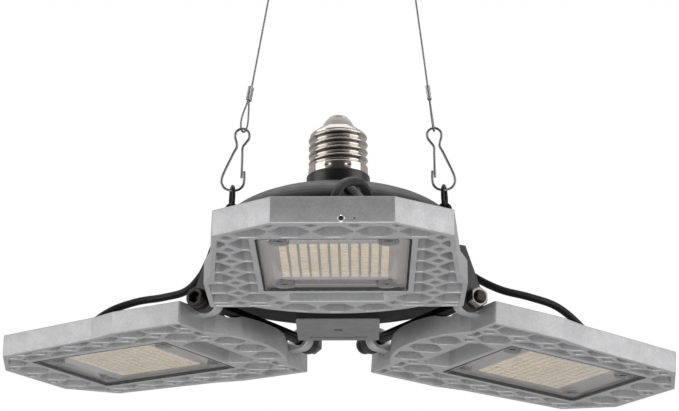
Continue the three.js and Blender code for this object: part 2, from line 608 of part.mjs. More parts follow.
for (const { name, side, lean, twist } of ROPES) {
  const ring = new THREE.TorusGeometry(RING_R, RING_WIRE_R, 8, 24).rotateY(Math.PI / 2);
  const ringMesh = part(`lug_ring_${name}`, ring, 0x1a1a1b, 0.4, 0.8);
  ringMesh.position.set(side * LUG_X, 0, ringBottom + RING_R);
  lamp.add(ringMesh);

  const hookPath = HOOK_OUTLINE.map(([x, z]) => [side * x, 0, hookBottom + z]);
  lamp.add(part(`snap_hook_${name}`, tube(hookPath, HOOK_WIRE_R, 8, 54), 0x9a9b9d, 0.3, 1));

  const slope = Math.tan(THREE.MathUtils.degToRad(lean));
  const eyeTopX = side * (eyeX - (loopTop - loopBottom) * slope);
  const length = (loopTop - loopBottom) * Math.hypot(1, slope);
  const hung = new THREE.Group();
  hung.position.set(side * eyeX, 0, loopBottom);
  hung.rotation.set(0, -side * THREE.MathUtils.degToRad(lean), 0);
  lamp.add(hung);
  const turned = new THREE.Group();
  turned.rotation.z = THREE.MathUtils.degToRad(90 - twist);
  hung.add(turned);
  turned.add(part(`rope_${name}`, tube(ropePoints(length), ROPE_R, 8, 60), STEEL, 0.4, 1));
  turned.add(part(`ferrule_low_${name}`, ferrule(LOOP_L), 0xa5a6a8, 0.4, 1));
  turned.add(part(`ferrule_high_${name}`, ferrule(length - LOOP_L - FERRULE_L), 0xa5a6a8, 0.4, 1));

  const bow = [[-4.6, 0, plateBottom + 1], [-4.6, 0, plateBottom - 3], [-3.4, 0, plateBottom - 6.6],
    [0, 0, eyeWireZ], [3.4, 0, plateBottom - 6.6], [4.6, 0, plateBottom - 3], [4.6, 0, plateBottom + 1]];
  let fitting = solid(tube(bow, EYE_WIRE_R, 8, 18));
  fitting = fitting.add(solid(rod(PLATE_R, PLATE_T, 32).rotateX(Math.PI / 2)
    .translate(0, 0, plateBottom + PLATE_T / 2)));
  const fittingMesh = part(`ceiling_fitting_${name}`, geometryOf(fitting), STEEL, 0.35, 1);
  fittingMesh.position.x = eyeTopX;
  lamp.add(fittingMesh);
}

export default root;
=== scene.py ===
import math

import bpy
from mathutils import Matrix, Vector
from mathutils.geometry import tessellate_polygon


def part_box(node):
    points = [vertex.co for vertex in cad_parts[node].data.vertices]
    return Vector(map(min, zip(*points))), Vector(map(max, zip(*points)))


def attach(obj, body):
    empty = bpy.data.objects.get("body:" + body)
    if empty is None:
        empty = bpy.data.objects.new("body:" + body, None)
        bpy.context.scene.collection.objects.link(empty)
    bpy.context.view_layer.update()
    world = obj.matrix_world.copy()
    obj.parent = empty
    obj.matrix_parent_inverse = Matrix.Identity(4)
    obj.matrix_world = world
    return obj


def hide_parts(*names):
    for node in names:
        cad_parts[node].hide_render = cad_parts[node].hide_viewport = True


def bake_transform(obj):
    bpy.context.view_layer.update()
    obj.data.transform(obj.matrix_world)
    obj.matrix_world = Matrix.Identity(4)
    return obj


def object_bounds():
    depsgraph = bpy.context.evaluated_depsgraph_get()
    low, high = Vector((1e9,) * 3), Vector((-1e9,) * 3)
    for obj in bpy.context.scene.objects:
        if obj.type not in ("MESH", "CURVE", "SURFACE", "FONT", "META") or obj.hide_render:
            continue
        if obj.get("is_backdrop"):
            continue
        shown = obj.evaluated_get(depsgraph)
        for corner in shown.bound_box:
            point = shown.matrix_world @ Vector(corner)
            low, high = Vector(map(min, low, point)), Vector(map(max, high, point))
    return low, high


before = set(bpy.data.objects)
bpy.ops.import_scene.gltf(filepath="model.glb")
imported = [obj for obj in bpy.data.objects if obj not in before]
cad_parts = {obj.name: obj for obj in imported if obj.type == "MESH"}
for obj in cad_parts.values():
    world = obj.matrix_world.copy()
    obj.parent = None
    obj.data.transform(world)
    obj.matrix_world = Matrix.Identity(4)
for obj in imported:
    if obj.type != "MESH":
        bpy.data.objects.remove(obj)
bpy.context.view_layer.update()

# ---------------------------------------------------------------- camera
# The lamp hangs above eye level, so the camera stands low in front of it and looks up
# at its underside through a long lens.
CAMERA_PLACE = (0.01007, -0.82484, -0.40545)
CAMERA_PITCH = 18.11
CAMERA_YAW = 0.66
CAMERA_LENS = 105.0
camera = bpy.data.objects.new("camera", bpy.data.cameras.new("camera"))
camera.data.lens = CAMERA_LENS
camera.data.sensor_width = 36
camera.data.sensor_fit = "HORIZONTAL"
camera.location = CAMERA_PLACE
camera.rotation_euler = (math.radians(90 + CAMERA_PITCH), 0, math.radians(CAMERA_YAW))
bpy.context.scene.collection.objects.link(camera)
bpy.context.scene.camera = camera

# ---------------------------------------------------------------- wire ropes
# Two thin galvanised wire ropes, six strands twisted on a core. Each end turns back through
# a crimped sleeve to make a loop: the low one holds the snap hook, the high one the ceiling eye.
# Sizes in this script are millimetres, and heights are above the hinge pins, as a maker measures.
pin_low, pin_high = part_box("hinge_bolt_front")
PIN_HEIGHT = 1000 * (pin_low.z + pin_high.z) / 2
ROPE_D = 0.9
ROPE_STRANDS = 6
ROPE_LAY = 6.0
STRAND_GAP = 0.55
STRAND_DEPTH = 0.14
LOOP_LONG = 15
LOOP_HALF = 3
SLEEVE_LONG = 6.5
LOOP_BOTTOM = 81.95
LOOP_TOP = 173.25
LOOP_X = 42.4
ROPES = [("left", -1, 9.3, 24), ("right", 1, 6.6, 8)]
HERE = Matrix.Identity(4)
CREASE = 38
ROUND = 180


def smooth_line(points, step):
    """A fair curve through given points, with a point about every step."""
    points = [Vector(p) for p in points]
    ends = [2 * points[0] - points[1], *points, 2 * points[-1] - points[-2]]
    line = []
    for a, b, c, d in zip(ends, ends[1:], ends[2:], ends[3:]):
        before = (b - a).length ** 0.5
        here = (c - b).length ** 0.5
        after = (d - c).length ** 0.5
        leave = ((b - a) / before - (c - a) / (before + here) + (c - b) / here) * here
        arrive = ((c - b) / here - (d - b) / (here + after) + (d - c) / after) * here
        count = max(2, math.ceil((c - b).length / step))
        for i in range(count):
            s = i / count
            square, cube = s * s, s * s * s
            line.append((2 * cube - 3 * square + 1) * b + (cube - 2 * square + s) * leave
                        + (3 * square - 2 * cube) * c + (cube - square) * arrive)
    line.append(points[-1])
    return line


def ring_faces(rings, sides, closed=False):
    """The four-sided faces between rings of points. Closed joins the last ring to the first."""
    faces = []
    for i in range(rings if closed else rings - 1):
        after = (i + 1) % rings
        for k in range(sides):
            nxt = (k + 1) % sides
            faces.append([i * sides + k, i * sides + nxt, after * sides + nxt, after * sides + k])
    return faces


def swept(line, radius, sides=16, lobes=0, lay=1.0):
    """A round wire along a line, with domed ends. Lobes are the strands of a rope."""
    points = []
    ahead = (line[1] - line[0]).normalized()
    side = ahead.orthogonal().normalized()
    rings, along = [], 0.0
    for i, place in enumerate(line):
        if i:
            along += (place - line[i - 1]).length
        turn = (line[min(i + 1, len(line) - 1)] - line[max(i - 1, 0)]).normalized()
        side = ahead.rotation_difference(turn) @ side
        side = (side - side.dot(turn) * turn).normalized()
        ahead = turn
        rings.append((place, turn, side, 1.0, along))
    for end, last in ((0, False), (-1, True)):
        place, turn, side, _, along = rings[end]
        out = turn if last else -turn
        caps = []
        for share in (0.5, 0.87):
            caps.append((place + out * radius * share, turn, side, math.sqrt(1 - share ** 2), along))
        rings = rings + caps if last else caps[::-1] + rings
    for place, turn, side, size, along in rings:
        across = turn.cross(side)
        for k in range(sides):
            angle = 2 * math.pi * k / sides
            reach = radius * size
            if lobes:
                groove = abs(math.sin(lobes * angle / 2))
                reach *= 1 - STRAND_DEPTH + STRAND_DEPTH * groove
                angle += 2 * math.pi * along / lay
            points.append(place + side * math.cos(angle) * reach + across * math.sin(angle) * reach)
    faces = ring_faces(len(rings), sides)
    faces.append(list(range(sides))[::-1])
    faces.append([len(points) - sides + k for k in range(sides)])
    return points, faces


def moved(shell, place):
    """The same shell turned or shifted."""
    points, faces = shell
    return [place @ Vector(p) for p in points], faces


def joined(*shells):
    """Several shells as one piece."""
    points, faces = [], []
    for more_points, more_faces in shells:
        start = len(points)
        faces += [[i + start for i in face] for face in more_faces]
        points += [Vector(p) for p in more_points]
    return points, faces


def make_piece(name, shell, finish, place=HERE, crease=CREASE):
    """A finished mesh in the lamp's place: millimetres above the pins become metres. Edges that
    turn by more than the crease stay sharp."""
    points, faces = moved(shell, place)
    mesh = bpy.data.meshes.new(name)
    lift = Vector((0, 0, PIN_HEIGHT))
    mesh.from_pydata([(p + lift) / 1000 for p in points], [], faces)
    mesh.validate()
    mesh.set_sharp_from_angle(angle=math.radians(crease))
    mesh.materials.append(finish)
    obj = bpy.data.objects.new(name, mesh)
    bpy.context.scene.collection.objects.link(obj)
    return obj


def add_node(tree, kind, **constants):
    """A shader node with constants set on its sockets, whose names have underscores for spaces."""
    made = tree.nodes.new(f"ShaderNode{kind}")
    for socket, value in constants.items():
        made.inputs[socket.replace("_", " ")].default_value = value
    return made


def surface(name, colour, rough, metal=0.0, grain=0.5, depth=0.01, mottle=0.06, spread=0.06,
            speckle=0.0, **constants):
    """A finish with its own colour drift, uneven gloss and fine grain. Grain and depth are in mm."""
    finish = bpy.data.materials.new(name)
    finish.use_nodes = True
    tree = finish.node_tree
    shader = tree.nodes["Principled BSDF"]
    shader.inputs["Metallic"].default_value = metal
    for socket, value in constants.items():
        shader.inputs[socket.replace("_", " ")].default_value = value
    where = add_node(tree, "TexCoord")

    def noise(scale, detail):
        made = add_node(tree, "TexNoise", Scale=scale, Detail=detail)
        tree.links.new(where.outputs["Object"], made.inputs["Vector"])
        return made.outputs["Fac"]

    drift = add_node(tree, "ValToRGB")
    for end, position, share in ((0, 0.3, 1 - mottle), (1, 0.7, 1 + mottle)):
        drift.color_ramp.elements[end].position = position
        drift.color_ramp.elements[end].color = (*[min(1, c * share) for c in colour], 1)
    tree.links.new(noise(90, 5), drift.inputs["Fac"])
    top = drift.outputs["Color"]
    fine = noise(1000 / grain, 3)
    if speckle:
        dots = add_node(tree, "MapRange", From_Min=0.35, From_Max=0.65, To_Min=1 - speckle,
                        To_Max=1 + speckle)
        tree.links.new(fine, dots.inputs["Value"])
        scaled = add_node(tree, "VectorMath")
        scaled.operation = "SCALE"
        tree.links.new(top, scaled.inputs[0])
        tree.links.new(dots.outputs["Result"], scaled.inputs["Scale"])
        top = scaled.outputs["Vector"]
    tree.links.new(top, shader.inputs["Base Color"])
    gloss = add_node(tree, "MapRange", From_Min=0.3, From_Max=0.7, To_Min=max(0.02, rough - spread),
                     To_Max=min(1.0, rough + spread))
    tree.links.new(noise(210, 4), gloss.inputs["Value"])
    tree.links.new(gloss.outputs["Result"], shader.inputs["Roughness"])
    bump = add_node(tree, "Bump", Strength=1.0, Distance=depth / 1000)
    tree.links.new(fine, bump.inputs["Height"])
    tree.links.new(bump.outputs["Normal"], shader.inputs["Normal"])
    return finish


def rope_route(long):
    """One wire from the low sleeve round the low loop, up, round the high loop and back in."""
    low, high, inside = LOOP_LONG, long - LOOP_LONG, SLEEVE_LONG - 0.6
    return [
        (-STRAND_GAP, 0, low + inside), (-STRAND_GAP, 0, low + 0.5), (-STRAND_GAP, 0, low - 0.5),
        (-1.6, 0, low - 4), (-LOOP_HALF, 0, 5), (-2.5, 0, 1.7), (-1.1, 0, 0.25), (0, 0, 0), (1.1, 0, 0.25),
        (2.5, 0, 1.7), (LOOP_HALF, 0, 5), (1.6, 0, low - 4), (STRAND_GAP, 0, low - 0.5),
        (STRAND_GAP, 0, low + SLEEVE_LONG + 1), (STRAND_GAP, 0, long / 2),
        (STRAND_GAP, 0, high - SLEEVE_LONG - 1),
        (STRAND_GAP, 0, high + 0.5), (1.6, 0, high + 4), (LOOP_HALF, 0, long - 5),
        (2.5, 0, long - 1.7), (1.1, 0, long - 0.25), (0, 0, long), (-1.1, 0, long - 0.25),
        (-2.5, 0, long - 1.7), (-LOOP_HALF, 0, long - 5), (-1.6, 0, high + 4),
        (-STRAND_GAP, 0, high + 0.5), (-STRAND_GAP, 0, high - 0.5), (-STRAND_GAP, 0, high - inside),
    ]


def in_frame(points):
    """Millimetres above the pins, as metres from the ceiling."""
    return [(p + Vector((0, 0, PIN_HEIGHT))) / 1000 for p in points]


rope_steel = surface("rope_steel", (0.28, 0.28, 0.28), 0.36, 1.0, grain=0.2, depth=0.004)
ropes = {}
for side_name, side, lean, twist in ROPES:
    slope = math.tan(math.radians(lean))
    rope_long = (LOOP_TOP - LOOP_BOTTOM) * math.hypot(1, slope)
    hung = Matrix.Translation((side * LOOP_X, 0, LOOP_BOTTOM))
    hung = hung @ Matrix.Rotation(-side * math.radians(lean), 4, "Y")
    hung = hung @ Matrix.Rotation(math.radians(90 - twist), 4, "Z")
    line = [hung @ p for p in smooth_line(rope_route(rope_long), 0.8)]
    rope_shell = swept(line, ROPE_D / 2, 18, ROPE_STRANDS, ROPE_LAY)
    rope = make_piece(f"wire_rope_{side_name}", rope_shell, rope_steel, crease=ROUND)
    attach(rope, "ropes")
    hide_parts(f"rope_{side_name}")
    ropes[side_name] = (rope, hung, rope_long, in_frame(line))

# ---------------------------------------------------------------- crimped sleeves
# Short oval aluminium sleeves pressed onto both strands of the rope, with two crimp dents
# that narrow them, so each end stays a loop.
SLEEVE_HALF_WIDE = 1.75
SLEEVE_HALF_THICK = 0.98
SLEEVE_BORE = (1.25, 0.6)
CRIMP_DEPTH = 0.16
SLEEVE_STEPS = 26


def oval(half_wide, half_thick, count=28):
    """An oval with straight sides and round ends."""
    straight = half_wide - half_thick
    loop = []
    for i in range(count):
        angle = 2 * math.pi * (i + 0.5) / count
        x = half_thick * math.cos(angle)
        loop.append((x + math.copysign(straight, x), half_thick * math.sin(angle)))
    return loop


def sleeve(base):
    """Rings of the oval up the sleeve, out over its lips and back down the bore."""
    rings = []
    for i in range(SLEEVE_STEPS + 1):
        share = i / SLEEVE_STEPS
        crimp = sum(math.exp(-((share - c) / 0.09) ** 2) for c in (0.3, 0.7))
        lip = 0.12 * (1 - min(1, min(share, 1 - share) / 0.05)) ** 2
        shrink = 1 - CRIMP_DEPTH * crimp
        rings.append([(x * (1 - lip), y * shrink * (1 - lip), base + SLEEVE_LONG * share)
                      for x, y in oval(SLEEVE_HALF_WIDE, SLEEVE_HALF_THICK)])
    for share in (1, 0):
        rings.append([(x, y, base + SLEEVE_LONG * share) for x, y in oval(*SLEEVE_BORE)])
    faces = ring_faces(len(rings), len(rings[0]), closed=True)
    return [p for ring in rings for p in ring], faces


sleeve_metal = surface("sleeve_metal", (0.40, 0.40, 0.41), 0.42, 0.9, grain=0.3, depth=0.012, mottle=0.12)
sleeves = {}
for side_name, (rope, hung, rope_long, _) in ropes.items():
    for height, base in (("low", LOOP_LONG), ("high", rope_long - LOOP_LONG - SLEEVE_LONG)):
        piece = make_piece(f"crimp_sleeve_{height}_{side_name}", sleeve(base), sleeve_metal, hung)
        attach(piece, "ropes")
        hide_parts(f"ferrule_{height}_{side_name}")
        sleeves.setdefault(side_name, []).append(piece)

# ---------------------------------------------------------------- ceiling fittings
# A round pressed steel plate that screws to the ceiling, with a bent wire eye riveted through it.
# The rope's high loop hangs in the eye.
PLATE_R = 11
PLATE_TOP = 183
PLATE_THICK = 3
EYE_WIRE_R = 1
EYE_LOW = 171.5
EYE_FOOT = 4.6


def rounded(loop, radius, steps=4, closed=True):
    """The same outline with each corner eased to about that radius."""
    loop = [Vector(p) for p in loop]
    loop = [p for i, p in enumerate(loop) if (p - loop[i - 1]).length > 1e-4]
    done = []
    for i, corner in enumerate(loop):
        if not closed and i in (0, len(loop) - 1):
            done.append(corner)
            continue
        back = loop[i - 1] - corner
        on = loop[(i + 1) % len(loop)] - corner
        half = max(0.05, back.angle(on) / 2)
        if half > math.radians(86):
            done.append(corner)
            continue
        cut = min(radius / math.tan(half), 0.46 * back.length, 0.46 * on.length)
        start, end = corner + back.normalized() * cut, corner + on.normalized() * cut
        for k in range(steps + 1):
            s = k / steps
            done.append((1 - s) ** 2 * start + 2 * s * (1 - s) * corner + s * s * end)
    return done


def turned(profile, steps=96, closed=False):
    """A piece turned on a lathe, from its (radius, height) outline."""
    points, faces, rows = [], [], []
    for radius, height in profile:
        if radius < 1e-6:
            rows.append([len(points)] * steps)
            points.append(Vector((0, 0, height)))
            continue
        rows.append(list(range(len(points), len(points) + steps)))
        for k in range(steps):
            angle = 2 * math.pi * k / steps
            points.append(Vector((radius * math.cos(angle), radius * math.sin(angle), height)))
    pairs = list(zip(rows, rows[1:]))
    if closed:
        pairs.append((rows[-1], rows[0]))
    for low, high in pairs:
        for k in range(steps):
            nxt = (k + 1) % steps
            face = []
            for i in (low[k], low[nxt], high[nxt], high[k]):
                if i not in face:
                    face.append(i)
            if len(face) > 2:
                faces.append(face)
    return points, faces


def disc(radius, low, high, sides, ease=0.0, steps=3):
    """A solid round disc between two heights, with eased rims if asked."""
    profile = [(0, low), (radius, low), (radius, high), (0, high)]
    return turned(rounded(profile, ease, steps, closed=False) if ease else profile, sides)


plate_steel = surface("plate_steel", (0.50, 0.50, 0.51), 0.36, 1.0, grain=0.6, depth=0.008, mottle=0.1)
plate_low = PLATE_TOP - PLATE_THICK
eye_route = [(-EYE_FOOT, 0, plate_low + 1), (-EYE_FOOT, 0, plate_low - 3), (-3.4, 0, plate_low - 6.6),
             (0, 0, EYE_LOW),
             (3.4, 0, plate_low - 6.6), (EYE_FOOT, 0, plate_low - 3), (EYE_FOOT, 0, plate_low + 1)]
rivet = turned([(0, plate_low - 0.7), (1.2, plate_low - 0.55), (1.9, plate_low - 0.1), (1.9, plate_low + 0.4),
                (0, plate_low + 0.4)], 24)
shells = [disc(PLATE_R, plate_low, PLATE_TOP, 72, 0.8, 4), swept(smooth_line(eye_route, 0.7), EYE_WIRE_R)]
shells += [moved(rivet, Matrix.Translation((foot, 0, 0))) for foot in (-EYE_FOOT, EYE_FOOT)]
for side_name, (rope, hung, rope_long, route) in ropes.items():
    low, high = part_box(f"ceiling_fitting_{side_name}")
    place = Matrix.Translation((500 * (low.x + high.x), 0, 0))
    fitting = make_piece(f"ceiling_eye_{side_name}", joined(*shells), plate_steel, place)
    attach(fitting, "ceiling")
    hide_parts(f"ceiling_fitting_{side_name}")

# ---------------------------------------------------------------- leads
# Round black rubber leads, one to each leaf. Each leaves the dome through its gland, rises a
# little over the hinge with enough slack for the leaf to fold, and enters the leaf's back.
# Its bends are across, out from the lamp's middle and up, with the share of the leaf's tilt.
LEAD_D = 3.5
HINGE_RHO = 41.2
LEAVES = [("front", 0, -0.8), ("left", -120, 0.0), ("right", 120, -4.5)]
LEAD_START = [(5.8, 50.5, 35, 0), (5.8, 55, 35, 0), (5.8, 59.5, 35, 0)]
LEAD_FOOT = [(0.5, 137.6, 6, 1), (0.5, 137.6, 3, 1), (0.5, 137.6, -4, 1)]
LEAD_BENDS_FRONT = [
    (7.4, 64.5, 32, 0), (10, 71, 26.8, 0.1), (12.4, 82, 22, 0.3), (12.6, 97, 21.2, 0.55),
    (9.5, 112, 20.6, 0.8), (4.6, 125, 16.6, 1), (1.8, 133.5, 11.5, 1),
]
LEAD_BENDS_SIDE = [
    (4.4, 64.6, 31.2, 0), (1.4, 71.2, 25.4, 0.1), (-2.6, 82, 20.8, 0.3), (-4.6, 96, 20.2, 0.55),
    (-4, 111, 20, 0.8), (-1.6, 124, 16.8, 1), (0, 133, 11.4, 1),
]


def lead_points(bends, tilt):
    """The route with each point lifted by its share of the leaf's tilt about the hinge."""
    points = []
    for across, rho, height, share in [*LEAD_START, *bends, *LEAD_FOOT]:
        angle = math.radians(tilt * share)
        out = rho - HINGE_RHO
        points.append((across, -(HINGE_RHO + out * math.cos(angle) - height * math.sin(angle)),
                       height * math.cos(angle) + out * math.sin(angle)))
    return points


lead_rubber = surface("lead_rubber", (0.008, 0.008, 0.008), 0.42, grain=0.35, depth=0.008, mottle=0.2,
                      Specular_IOR_Level=0.22)
for leaf_name, azimuth, tilt in LEAVES:
    turn = Matrix.Rotation(math.radians(azimuth), 4, "Z")
    bends = LEAD_BENDS_FRONT if leaf_name == "front" else LEAD_BENDS_SIDE
    line = [turn @ p for p in smooth_line(lead_points(bends, tilt), 1.2)]
    route = in_frame(line)
    lead = make_piece(f"rubber_lead_{leaf_name}", swept(line, LEAD_D / 2, 20), lead_rubber, crease=ROUND)
    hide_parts(f"lead_{leaf_name}")
    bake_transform(lead)

# ---------------------------------------------------------------- snap hooks and lug rings
# Spring snap hooks, each one length of hard wire bent to a pear with a free end that springs
# against it. A round black ring joins each hook to the lug cast on the dome.
HOOK_WIRE_R = 0.55
HOOK_LOW = 54.35
HOOK_OUTLINE = [
    (42.6, 6.2), (42.5, 10), (42.4, 16), (42.2, 20.4), (40.9, 22.3), (39.5, 24.5), (39.6, 27), (41.2, 28.7),
    (43.4, 28.9), (45.3, 27.4), (45.7, 25), (45.1, 22.6), (44.9, 20.4), (46.2, 17.8), (48, 13.8), (49.8, 9.8),
    (51.2, 6), (51.3, 3.4), (49.8, 1.1), (46.6, 0), (43.6, 0.6), (41.9, 2.4), (41.4, 5), (41.42, 8.6),
]
RING_R = 5.2
RING_WIRE_R = 0.8
RING_MIDDLE = (46.6, 50.8)
RING_TURN = math.radians(11)
hook_wire = surface("hook_wire", (0.30, 0.30, 0.30), 0.24, 1.0, grain=0.5, depth=0.003, mottle=0.15)
ring_black = surface("ring_black", (0.022, 0.022, 0.023), 0.32, 0.8, grain=0.5, depth=0.004)
for side_name, side, _, _ in ROPES:
    route = [(side * x, 0, HOOK_LOW + z) for x, z in HOOK_OUTLINE]
    hook = make_piece(f"spring_hook_{side_name}", swept(smooth_line(route, 0.6), HOOK_WIRE_R, 18), hook_wire)
    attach(hook, "snap_hooks")
    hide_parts(f"snap_hook_{side_name}")
    section = [(RING_R + RING_WIRE_R * math.cos(a), RING_WIRE_R * math.sin(a))
               for a in (2 * math.pi * k / 18 for k in range(18))]
    place = Matrix.Translation((side * RING_MIDDLE[0], 0, RING_MIDDLE[1]))
    place = place @ Matrix.Rotation(-side * RING_TURN, 4, "Z") @ Matrix.Rotation(math.pi / 2, 4, "Y")
    ring = make_piece(f"split_ring_{side_name}", turned(section, 96, closed=True), ring_black, place)
    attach(ring, "hub")
    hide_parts(f"lug_ring_{side_name}")

# ---------------------------------------------------------------- dome
# One black die casting: a stepped dome with a short skirt, three pairs of hinge ears below it,
# a drilled lug at each side for the hanging rings and a boss for each lead. Satin powder coat.
RIM_R, RIM_Z = 55, 7.3
DOME_R, DOME_Z, DOME_RISE = 52, 33.5, 18.7
DOME_TOP_R = 14.3
COVER_R = 52.3
STEP_R = 24.5
STEP_RISE = 0.6
EAR_IN, EAR_OUT, EAR_R = 40, 44, 5.3
LUG_X, LUG_Z, LUG_R, LUG_HOLE_R, LUG_THICK = 46.6, 45.2, 3.2, 1.5, 2.4
GLAND_X, GLAND_Z = 5.8, 35
BOSS_BORE_R, BOSS_R, BOSS_LONG, BOSS_OUT = 2.05, 5.4, 10, 1.5
PIN_HOLE_R = 2.8
EASE_STEPS = 3


def arc(x, y, radius, start, end, count):
    """Points round a part circle, in degrees."""
    made = []
    for i in range(count + 1):
        angle = math.radians(start + (end - start) * i / count)
        made.append((x + radius * math.cos(angle), y + radius * math.sin(angle)))
    return made


def circle(x, y, radius):
    """A round hole's outline."""
    return arc(x, y, radius, 0, 345, 23)


def offset(loop, distance):
    """The outline moved towards its left by that distance."""
    made = []
    for i, p in enumerate(loop):
        back = (p - loop[i - 1]).normalized()
        on = (loop[(i + 1) % len(loop)] - p).normalized()
        normal = Vector((-(back.y + on.y), back.x + on.x))
        if normal.length < 1e-6:
            normal = Vector((-back.y, back.x))
        normal.normalize()
        facing = max(0.5, normal.dot(Vector((-back.y, back.x))))
        made.append(p + normal * distance / facing)
    return made


def run(loop):
    """Twice the signed area: above 0 if the outline runs anticlockwise."""
    return sum(a[0] * b[1] - b[0] * a[1] for a, b in zip(loop, [*loop[1:], loop[0]]))


def plate(outline, low, high, edge, through=(), pocket=None, floor_through=(), slope=0.0):
    """A flat casting with eased edges: an outline, holes right through it, and a pocket from below
    with its floor at a level, which may have holes of its own and sides that slope inwards."""
    points, faces = [], []
    soft = [(edge * (1 - math.sin(a)), edge * (1 - math.cos(a)))
            for a in (math.pi / 2 * k / EASE_STEPS for k in range(EASE_STEPS + 1))]

    def join_rings(rings):
        """Four-sided faces from each ring of point numbers to the next."""
        for one, two in zip(rings, rings[1:]):
            for k in range(len(one)):
                nxt = (k + 1) % len(one)
                faces.append([one[k], one[nxt], two[nxt], two[k]])

    def wall(loop, hole, floor, roof):
        """Rings from the lower edge to the upper one; returns the first and last ring."""
        loop = [Vector(p[:2]) for p in loop]
        if (run(loop) < 0) != hole:
            loop = loop[::-1]
        levels = [(inset, floor + rise) for inset, rise in soft]
        levels += [(inset, roof - rise) for inset, rise in soft[::-1]]
        rings = []
        for inset, level in levels:
            ring = range(len(points), len(points) + len(loop))
            points.extend(Vector((*p, level)) for p in offset(loop, inset))
            rings.append(list(ring))
        join_rings(rings)
        return rings[0], rings[-1]

    def cap(rings, up):
        """The flat face between an outline and its holes."""
        order = [i for ring in rings for i in ring]
        for a, b, c in tessellate_polygon([[points[i] for i in ring] for ring in rings]):
            pa, pb, pc = points[order[a]], points[order[b]], points[order[c]]
            upward = (pb - pa).cross(pc - pa).z > 0
            faces.append([order[a], order[b], order[c]] if upward == up else [order[a], order[c], order[b]])

    outer = wall(outline, False, low, high)
    holes = [wall(h, True, low, high) for h in through]
    under = [outer[0], *[h[0] for h in holes]]
    over = [outer[1], *[h[1] for h in holes]]
    if pocket:
        loop, level = pocket
        loop = [Vector(p[:2]) for p in loop]
        if run(loop) > 0:
            loop = loop[::-1]
        rings = []
        for inset, height in [(inset, low + rise) for inset, rise in soft] + [(-slope, level)]:
            rings.append(list(range(len(points), len(points) + len(loop))))
            points.extend(Vector((*p, height)) for p in offset(loop, inset))
        join_rings(rings)
        deep = [wall(h, True, level, high) for h in floor_through]
        under.append(rings[0])
        over += [h[1] for h in deep]
        cap([rings[-1], *[h[0] for h in deep]], False)
    cap(under, False)
    cap(over, True)
    return points, faces


def stand_across(shell, start):
    """A shape drawn outwards and up, then stood on edge across the leaf from that distance."""
    turn = Matrix(((0, 0, 1, start), (-1, 0, 0, 0), (0, 1, 0, 0), (0, 0, 0, 1)))
    return moved(shell, turn)


dome_outside = [(0, RIM_Z + 0.3), (COVER_R + 0.4, RIM_Z + 0.3), (COVER_R + 0.4, RIM_Z), (RIM_R, RIM_Z),
                (RIM_R - 0.4, 12), (DOME_R + 0.6, 28), (DOME_R, DOME_Z)]
for r in (51.6, 51, 49.9, 48, 45.4, 42, 38, 34, 30, 27, STEP_R + 0.9, STEP_R, 21, 18, DOME_TOP_R):
    rise = STEP_RISE * min(1, (r - DOME_TOP_R) / 3) if r <= STEP_R else 0
    dome_outside.append((r, DOME_Z + DOME_RISE * math.sqrt(1 - (r / DOME_R) ** 2) + rise))
dome_outside.append((0, dome_outside[-1][1]))
hub_coat = surface("hub_coat", (0.017, 0.017, 0.018), 0.40, 0.2, grain=0.45, depth=0.012, mottle=0.15)
dome_shells = [turned(rounded(dome_outside, 0.6, 3, closed=False), 160)]
ear_outline = [(33, 23), (37.5, 23), *arc(HINGE_RHO, 0, EAR_R, 15, -150, 24), (34.6, RIM_Z), (33, RIM_Z)]
ear = plate(ear_outline, 0, EAR_OUT - EAR_IN, 0.5, [circle(HINGE_RHO, 0, PIN_HOLE_R)])
boss_profile = [(BOSS_BORE_R, 0), (BOSS_R, 0), (BOSS_R, BOSS_LONG), (BOSS_BORE_R, BOSS_LONG)]
boss = turned(rounded(boss_profile, 0.7, 3), 40, closed=True)
boss_place = Matrix.Translation((GLAND_X, -(DOME_R + BOSS_OUT), GLAND_Z))
boss_place = boss_place @ Matrix.Rotation(-math.pi / 2, 4, "X")
for _, azimuth, _ in LEAVES:
    turn = Matrix.Rotation(math.radians(azimuth), 4, "Z")
    for near in (EAR_IN, -EAR_OUT):
        dome_shells.append(moved(stand_across(ear, near), turn))
    dome_shells.append(moved(boss, turn @ boss_place))
for side in (-1, 1):
    fin = [(LUG_X - 4.5, 38), (LUG_X + 3.4, 36), *arc(LUG_X, LUG_Z, LUG_R, 0, 180, 16)]
    hole = circle(LUG_X, LUG_Z, LUG_HOLE_R)
    lug = plate([(side * x, z) for x, z in fin], 0, LUG_THICK, 0.45, [[(side * x, z) for x, z in hole]])
    stand = Matrix.Translation((0, LUG_THICK / 2, 0)) @ Matrix.Rotation(math.pi / 2, 4, "X")
    dome_shells.append(moved(lug, stand))
dome = make_piece("dome_casting", joined(*dome_shells), hub_coat)
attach(dome, "hub")
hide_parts("hub_dome")

# ---------------------------------------------------------------- hub cover and gasket
# A flat black disc that closes the dome from below on a rubber gasket, held by three small
# cross-head screws near its edge.
COVER_T = 2.2
SCREW_CIRCLE_R = 47.5
cover_black = surface("cover_black", (0.005, 0.0048, 0.005), 0.6, grain=0.6, depth=0.012,
                      Specular_IOR_Level=0.25)
cover = make_piece("underside_cover", disc(COVER_R, RIM_Z, RIM_Z + COVER_T, 160, 0.4), cover_black)
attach(cover, "hub")
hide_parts("hub_cover")


